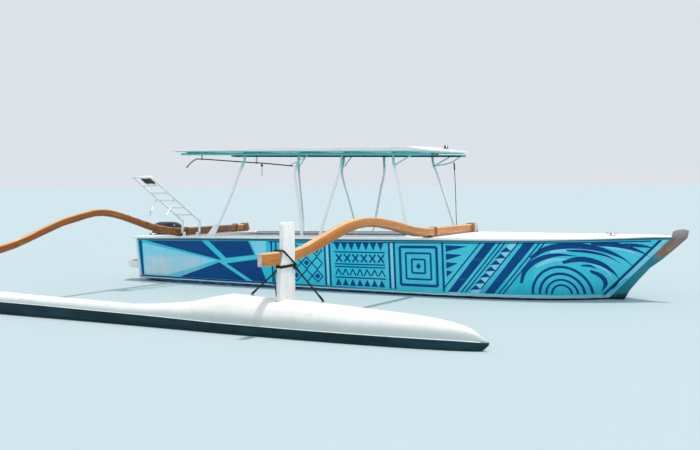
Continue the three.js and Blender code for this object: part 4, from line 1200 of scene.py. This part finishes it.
def eye(name, x, y, half, rise, wire, foot, thick, sides):
    """A wire ring that stands on a small round foot on the float."""
    z = top_z(AMA, x, y)
    ring = [(x + half * c, y, z + rise + (half + 0.002) * s) for c, s in turns(sides)]
    profile = [(0.0, 0.0), (foot, 0.0), (foot - 0.002, thick), (0.0, thick + 0.001)]
    piece(name, [tube(ring, wire, 6, True), lathe(profile, (x, y, z - 0.001), UP, sides)], "steel")


def stay_rope(node):
    """The laid rope that stands for a stay, with a splice at its head and an eye on the float."""
    low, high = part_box(node)
    points = [v.co.copy() for v in NODES[node].data.vertices]
    ends = [p for p in points if p.z > high.z - 0.03], [p for p in points if p.z < low.z + 0.03]
    head, foot = (sum(end, Vector()) / len(end) for end in ends)
    rope = [head + (foot - head) * t for t in run(0, 1, 41)]
    parts = [tube(rope, STAY_RADIUS), tube(rope[:6], SPLICE_RADIUS), tube(rope[-7:], SPLICE_RADIUS)]
    made = piece(node + "_rope", parts, "black_rope")
    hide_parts(node)
    eye(node + "_eye", foot.x, foot.y, half=0.016, rise=0.016, wire=0.004, foot=0.024, thick=0.005, sides=14)


def lashings(name, x, inner, outer, under, over, low_outer):
    """Turns of black rope: level ones below the boom, and slanted ones that bind it to the post."""
    r = LASHING_RADIUS
    fore, aft, back = x + POST_FORE + r, x + POST_AFT - r, x - BOOM_HALF - r
    ropes = []
    for k in range(2):
        z = under - 0.014 - 0.0145 * k
        out = low_outer + 0.2 * (z - under + 0.03) - r
        level = [(fore, inner + r, z), (fore, out, z - 0.006), (aft, out, z), (aft, inner + r, z + 0.005)]
        ropes.append(tube(cornered(level, 0.012), r, closed=True))
    top, low = over + r + 0.004, under - r - 0.006
    for k in range(2):
        near, far = inner + r + 0.016 * k, outer - r - 0.016 * k
        slanted = [(fore, far, top), (fore, near, low - 0.012), (back, near, low), (back, far, top)]
        ropes.append(tube(cornered(slanted, 0.014), r, closed=True))
    knot = [(fore + 0.006, inner - 0.03 + 0.02 * c, under - 0.045 + 0.032 * s * c) for c, s in turns(18)]
    ropes.append(tube(knot, 0.007, closed=True))
    piece("lashing_" + name, ropes, "black_rope")
    eye_x, eye_y = x + 0.012, AMA_Y - 0.085
    start = Vector((x - 0.012, low_outer - 0.014, under - 0.060))
    end = Vector((eye_x, eye_y, top_z(AMA, eye_x, eye_y) + 0.012))
    slack = [start + (end - start) * t + Vector((0, -0.012 * math.sin(math.pi * t), 0)) for t in run(0, 1, 25)]
    piece("tie_line_" + name, [tube(slack, 0.0055)], "black_rope")
    eye("tie_eye_" + name, eye_x, eye_y, half=0.012, rise=0.010, wire=0.0035, foot=0.020, thick=0.004, sides=12)


def boom_seats():
    """Dark pads and straps where each boom lies on the decks; the pads' dark rubber at the rim's edge is partly painted
    shadow of the boom.
    """
    pads, straps, plates = [], [], []
    for x, pad_y, pad_top, over in ((FRONT_BOOM_X, 0.865, 0.846, 0.970), (REAR_BOOM_X, 0.835, 0.769, 0.896)):
        for y in (-pad_y, pad_y):
            # Pads fill the gap under the boom; their dark rubber at the rim is partly painted shadow of the boom.
            pads.append(block(x, y, 0.062, 0.05, deck_z(x, y) - 0.001, pad_top, 0.003))
        for y in (-STRAP_Y, STRAP_Y):
            z = deck_z(x, y) + 0.003
            for b in (y - 0.018, y + 0.018):
                path = [(x - 0.052, b, z), (x - 0.046, b, over), (x + 0.046, b, over), (x + 0.052, b, z)]
                straps.append(tube(cornered(path, 0.012, False), 0.0065))
            plates += [(a, y, deck_z(a, y) + 0.003) for a in (x - 0.052, x + 0.052)]
    piece("boom_pads", pads, "rubber")
    piece("boom_straps", straps, "tan_rope")
    repeated("boom_plates", BOARDS, plates, (0.034, 0.075, 0.006))


def inboard_wraps():
    """Pale rope wound round the inner end of each boom, with a loop left standing at the end."""
    r = LASHING_RADIUS
    for name, x, end, under, over, finish in (("front", FRONT_BOOM_X, 0.925, 0.848, 0.964, "pale_rope"),
                                              ("rear", REAR_BOOM_X, 1.06, 0.771, 0.888, "tan_rope")):
        aft, fore, low, top = x - BOOM_HALF - r, x + BOOM_HALF + r, under - r, over + r
        ropes = []
        for k in range(WRAP_COUNT):
            y = end - 0.035 - WRAP_STEP * k
            wrap = [(aft, y, low), (aft, y + 0.004, top), (fore, y + 0.002, top), (fore, y - 0.004, low)]
            ropes.append(tube(cornered(wrap, 0.014), r, closed=True))
        loop = [(0.048, -0.05, under + 0.03), (0.050, 0.004, under + 0.012), (0.030, 0.012, under + 0.055),
                (0.018, 0.012, over - 0.012), (0.026, -0.004, over + 0.012), (0.050, -0.045, over + 0.006),
                (0.052, -0.060, over - 0.04)]
        ropes.append(tube(spline([(x + dx, end + dy, z) for dx, dy, z in loop], 0.012, True), r, closed=True))
        piece("end_wrap_" + name, ropes, finish)


def float_beads():
    """A pale bead where the float's two halves meet."""
    for side, name in ((-1, "outer"), (1, "inner")):
        wall = traced(AMA, run(-4.28, 3.26, 90), lambda x: chine_z(x) + 0.006, AMA_Y + side, -side)
        path = [(x, y + side * 0.0005, z - 0.005) for x, y, z in wall]
        piece("float_bead_" + name, [tube(path, 0.0045, 6)], "white_paint")


def chine_z(x):
    for (a, low), (b, high) in zip(CHINE, CHINE[1:]):
        if x <= b:
            return low + (high - low) * (x - a) / (b - a)
    return CHINE[-1][1]


# Roof

ROOF_AFT_X, ROOF_AFT_Z, ROOF_FALL = -3.54, 2.128, 0.018
RAIL_DROP = 0.043
CLAMP_RADIUS = 0.0195
BRACE_RADIUS = 0.010
SLING_RADIUS = 0.004
POLE_Y = -0.35


def roof_under(x):
    """Height of the roof's underside."""
    return ROOF_AFT_Z - ROOF_FALL * (x - ROOF_AFT_X)


def below_roof(first, last, y, drop, count=41):
    """Places in a row that keep a distance below the roof."""
    return [(x, y, roof_under(x) - drop) for x in run(first, last, count)]


def make_roof():
    legs = [n for n in NODES if n.startswith("leg_")]
    dressed("roof", "roof", bevel=0.004, smooth=30)
    # The rails and bearers take the ceiling's teal: painted shade under the roof.
    dressed("roof_rail_starboard roof_rail_port", "ceiling", smooth=40)
    dressed(" ".join(f"roof_bearer_{k}" for k in range(1, 6)), "ceiling", bevel=0.002)
    dressed(" ".join(legs), "tube", smooth=42)
    dressed("roof_lamp", "lens", smooth=40)
    low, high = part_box("roof_lamp")
    profile = [(0.0, -0.014), (0.048, -0.014), (0.048, 0.001), (0.038, 0.005), (0.0, 0.005)]
    piece("lamp_collar", [lathe(profile, ((low.x + high.x) / 2, 0.0, low.z), UP, 20)], "tube")
    plates, bolts = [], []
    for node in legs:
        side = -1 if "starboard" in node else 1
        x, y = LEG_FEET.get(node, LEG_FEET.get(node[:5])), side * LEG_Y
        z = deck_z(x, y)
        plates.append(block(x, y - side * 0.010, 0.055, 0.028, z - 0.002, z + 0.008, 0.002))
        bolts += [(x + dx, y - side * 0.026, z + 0.009) for dx in (-0.042, 0.042)]
    piece("leg_plates", plates, "tube")
    repeated("leg_bolts", SCREWS, bolts, (0.006, 0.0, 0.005))
    gusset = [(x, deck_z(x, -LEG_Y) + 0.001) for x in (-2.835, -2.66)]
    gusset += [(-2.655, 0.86), (-2.640, 0.975), (-2.668, 0.975), (-2.72, 0.90)]
    piece("leg_gusset", [plate(gusset, -0.888, -0.872, 0.003)], "tube")
    braces()
    boat_hook()
    crossings = [(x, side, roof_under(x)) for x in BEARERS for side in (-1, 1)]
    screws = [(x, side * y, z - 0.0255) for x, side, z in crossings for y in (0.20, 0.48, 0.735)]
    repeated("bearer_screws", SCREWS, screws, (0.006, 0.0, 0.004), facing=(0, 0, -1))
    clamps = []
    for x, side, z in crossings:
        ring = [(x, side * RAIL_Y + CLAMP_RADIUS * c, z - RAIL_DROP + CLAMP_RADIUS * s) for c, s in turns(16)]
        clamps.append(tube(ring, 0.005, 6, True))
    piece("rail_clamps", clamps, "steel")
    roof_edges()


def roof_edges():
    """A drip edge under both long sides of the roof, dark strips inside the rails that stand for the rails' shade, and
    spacers.
    """
    for side, name in SIDES:
        # The drip edge takes the ceiling's teal: painted shade under the roof.
        piece("drip_edge_" + name, [tube(below_roof(-3.50, 0.86, side * 0.780, 0.003), 0.006)], "ceiling")
        # Two dark strips just inside and below each rail: painted shade of the rail.
        drops = (RAIL_DROP + 0.010, RAIL_DROP + 0.002)
        shade_strips = [tube(below_roof(-3.38, 0.86, side * (RAIL_Y - 0.021), drop), 0.005) for drop in drops]
        piece("rail_shade_strip_" + name, shade_strips, "rubber")
    ends = ((-1.95, -1.66), (-1.60, -1.48), (-0.30, -0.09), (0.38, 0.48))
    piece("rail_spacers", [tube(below_roof(*pair, RAIL_Y, 0.016, 5), 0.010) for pair in ends], "pale_rope")


def braces():
    """Short bent tubes from the heads of the roof posts to the rails."""
    parts = []
    for x, reach in ((-1.205, 0.14), (0.375, 0.29)):
        bent = [(x + 0.012, roof_under(x) - 0.215), (x + reach * 0.45, roof_under(x) - 0.145),
                (x + reach, roof_under(x + reach) - 0.058)]
        for side in (-1, 1):
            parts.append(tube(spline([(a, side * RAIL_Y, z) for a, z in bent]), BRACE_RADIUS))
    arm = [(x, RAIL_Y, z) for x, z in ((0.40, 1.862), (0.573, 1.880), (0.707, 1.915), (0.84, roof_under(0.84) - 0.056))]
    piece("roof_braces", parts + [tube(spline(arm, 0.03), BRACE_RADIUS)], "tube")
    held = [(0.722, 0.845, deck_z(0.72, 0.86)), (0.735, 0.76, 1.55), (0.74, 0.70, 1.905)]
    knot = [(0.738, 0.72, 1.79), (0.74, 0.70, 1.905)]
    piece("fore_line", [tube(spline(held, 0.04), 0.0055), tube(knot, 0.011)], "black_rope")


def boat_hook():
    """A thin dark pole slung under the roof, with a bent end and a hanging line."""
    y = POLE_Y
    pole = [(-3.62, 1.870), (-3.56, 1.93), (-3.44, 2.000), (-3.30, 2.008), (-2.44, 1.945), (-2.12, 1.925),
            (-1.54, 1.872)]
    piece("boat_hook", [tube(spline([(x, y, z) for x, z in pole], 0.04), 0.009)], "rubber")
    slings = []
    for x, z in ((-3.30, 2.008), (-2.22, 1.931)):
        top = roof_under(x) - 0.020
        loop = [(-0.014, z - 0.004), (0.0, z - 0.0165), (0.014, z - 0.004), (0.010, top), (-0.010, top)]
        slings.append(tube(cornered([(x, y + dy, level) for dy, level in loop], 0.01), SLING_RADIUS, 6, True))
    slings.append(tube([(-1.60, y, 1.878), (-1.20, y, roof_under(-1.2) - 0.03)], SLING_RADIUS, 6))
    slings.append(tube(spline([(-2.12, y, 1.914), (-2.118, y, 1.82), (-2.122, y, 1.722)]), SLING_RADIUS, 6))
    knot = [(0.0, 0.0), (0.016, 0.008), (0.018, 0.03), (0.010, 0.046), (0.0, 0.048)]
    slings.append(lathe(knot, (-2.12, y, 1.866), UP, 12))
    piece("roof_slings", slings, "black_rope")


# Ladder and motor

LADDER_X = (-3.31, -2.97)
LADDER_BRACKETS = "ladder_bracket_1 ladder_bracket_2"
HINGE_Y, HINGE_Z = -0.885, 0.815
LADDER_FOOT = Vector((0, HINGE_Y - 0.060, HINGE_Z + 0.240))
LADDER_HEAD = Vector((0, HINGE_Y - 1.150, HINGE_Z + 0.890))
RUNG_SHARES = (0.096, 0.274, 0.452, 0.63, 0.808)
PAD_SHARE = 0.862
COWL_X, COWL_HALF_LENGTH, COWL_HALF_WIDTH, SEAM_Z = -4.315, 0.2875, 0.1725, 0.655
SCREW_Z = 0.345
AHEAD = (1, 0, 0)


def make_ladder():
    dressed("ladder", "tube", smooth=42)
    dressed(LADDER_BRACKETS, "tube", bevel=0.003)
    head = [(0.0, -0.005), (0.013, -0.004), (0.013, 0.0), (0.0, 0.001)]
    pins = [lathe(profile, (x - inward * 0.021, HINGE_Y, HINGE_Z), (inward, 0, 0), 12)
            for x, inward in zip(LADDER_X, (1, -1)) for profile in (rod(0.008, 0.066), head)]
    piece("ladder_pins", pins, "steel")
    piece("ladder_bases", [foot_plate(node, 0.026, 0.034, 0.004) for node in LADDER_BRACKETS.split()], "tube")
    length = LADDER_HEAD - LADDER_FOOT
    rungs = [LADDER_FOOT + length * share for share in RUNG_SHARES]
    treads = [block(-3.14, c.y, 0.135, 0.030, c.z - 0.006, c.z + 0.018, 0.004) for c in rungs]
    piece("ladder_treads", treads, "tread_white", "ladder")
    pad = []
    for k in range(9):
        c = LADDER_FOOT + length * PAD_SHARE + length.normalized() * 0.0145 * k
        pad.append(tube([(-3.20 + 0.002 * (k % 2), c.y, c.z), (-3.02, c.y, c.z)], 0.009))
    pad += [tube([(x, end.y, end.z) for end in (rungs[-1], LADDER_HEAD)], 0.005) for x in (-3.17, -3.05)]
    piece("ladder_pad", pad, "rubber", "ladder")
    feet = [block(x, HINGE_Y - 0.800, 0.024, 0.023, HINGE_Z + 0.300, HINGE_Z + 0.314, 0.003) for x in LADDER_X]
    piece("strut_feet", feet, "tube", "ladder")


def squarish(value):
    return math.copysign(abs(value) ** 0.6, value)


def make_motor():
    dressed("clamp_starboard clamp_port", "cast", bevel=0.003)
    dressed("swivel", "cast", smooth=40)
    dressed("motor_leg", "motor", smooth=36)
    dressed("motor_cowl", "motor", smooth=50)
    dressed("propeller", "propeller", smooth=40)
    seam = [(COWL_X + COWL_HALF_LENGTH * squarish(c), COWL_HALF_WIDTH * squarish(s), SEAM_Z) for c, s in turns(40)]
    piece("cowl_seam", [tube(seam, 0.005, 6, True)], "rubber", "motor")
    screws = []
    for y in (-0.110, 0.110):
        screws.append(lathe(rod(0.010, 0.055), (-4.085, y, SCREW_Z), AHEAD, 12))
        screws.append(tube([(-4.035, y - 0.045, SCREW_Z), (-4.035, y + 0.045, SCREW_Z)], 0.008, 10))
        screws.append(lathe([(0.0, 0.0), (0.026, 0.0), (0.026, 0.010), (0.0, 0.012)], (-4.117, y, SCREW_Z), AHEAD))
    piece("clamp_screws", screws, "steel")
    cap = [(0.0, 0.0), (0.030, 0.0), (0.030, 0.012), (0.020, 0.018), (0.0, 0.018)]
    caps = [lathe(cap, (-4.15, side * 0.084, 0.455), (0, side, 0), 18) for side in (-1, 1)]
    piece("tilt_nuts", caps, "steel", "swivel")
    nut = [(0.0, 0.0), (0.014, 0.0), (0.014, 0.006), (0.006, 0.006), (0.0, 0.006)]
    piece("propeller_nut", [lathe(nut, (-4.595, 0, -0.33), (-1, 0, 0), 8)], "steel", "propeller")
    latch = block(-4.6055, 0.0, 0.0095, 0.03, 0.63, 0.68, 0.004)
    anode = block(-4.40, 0.0, 0.04, 0.010, -0.196, -0.179, 0.003)
    piece("latch_and_anode", [latch, anode], "cast", "motor")


make_camera()
make_floor()
make_lights()
make_hull()
make_pattern()
make_outrigger()
make_roof()
make_ladder()
make_motor()

bpy.context.scene.view_settings.view_transform = "Standard"
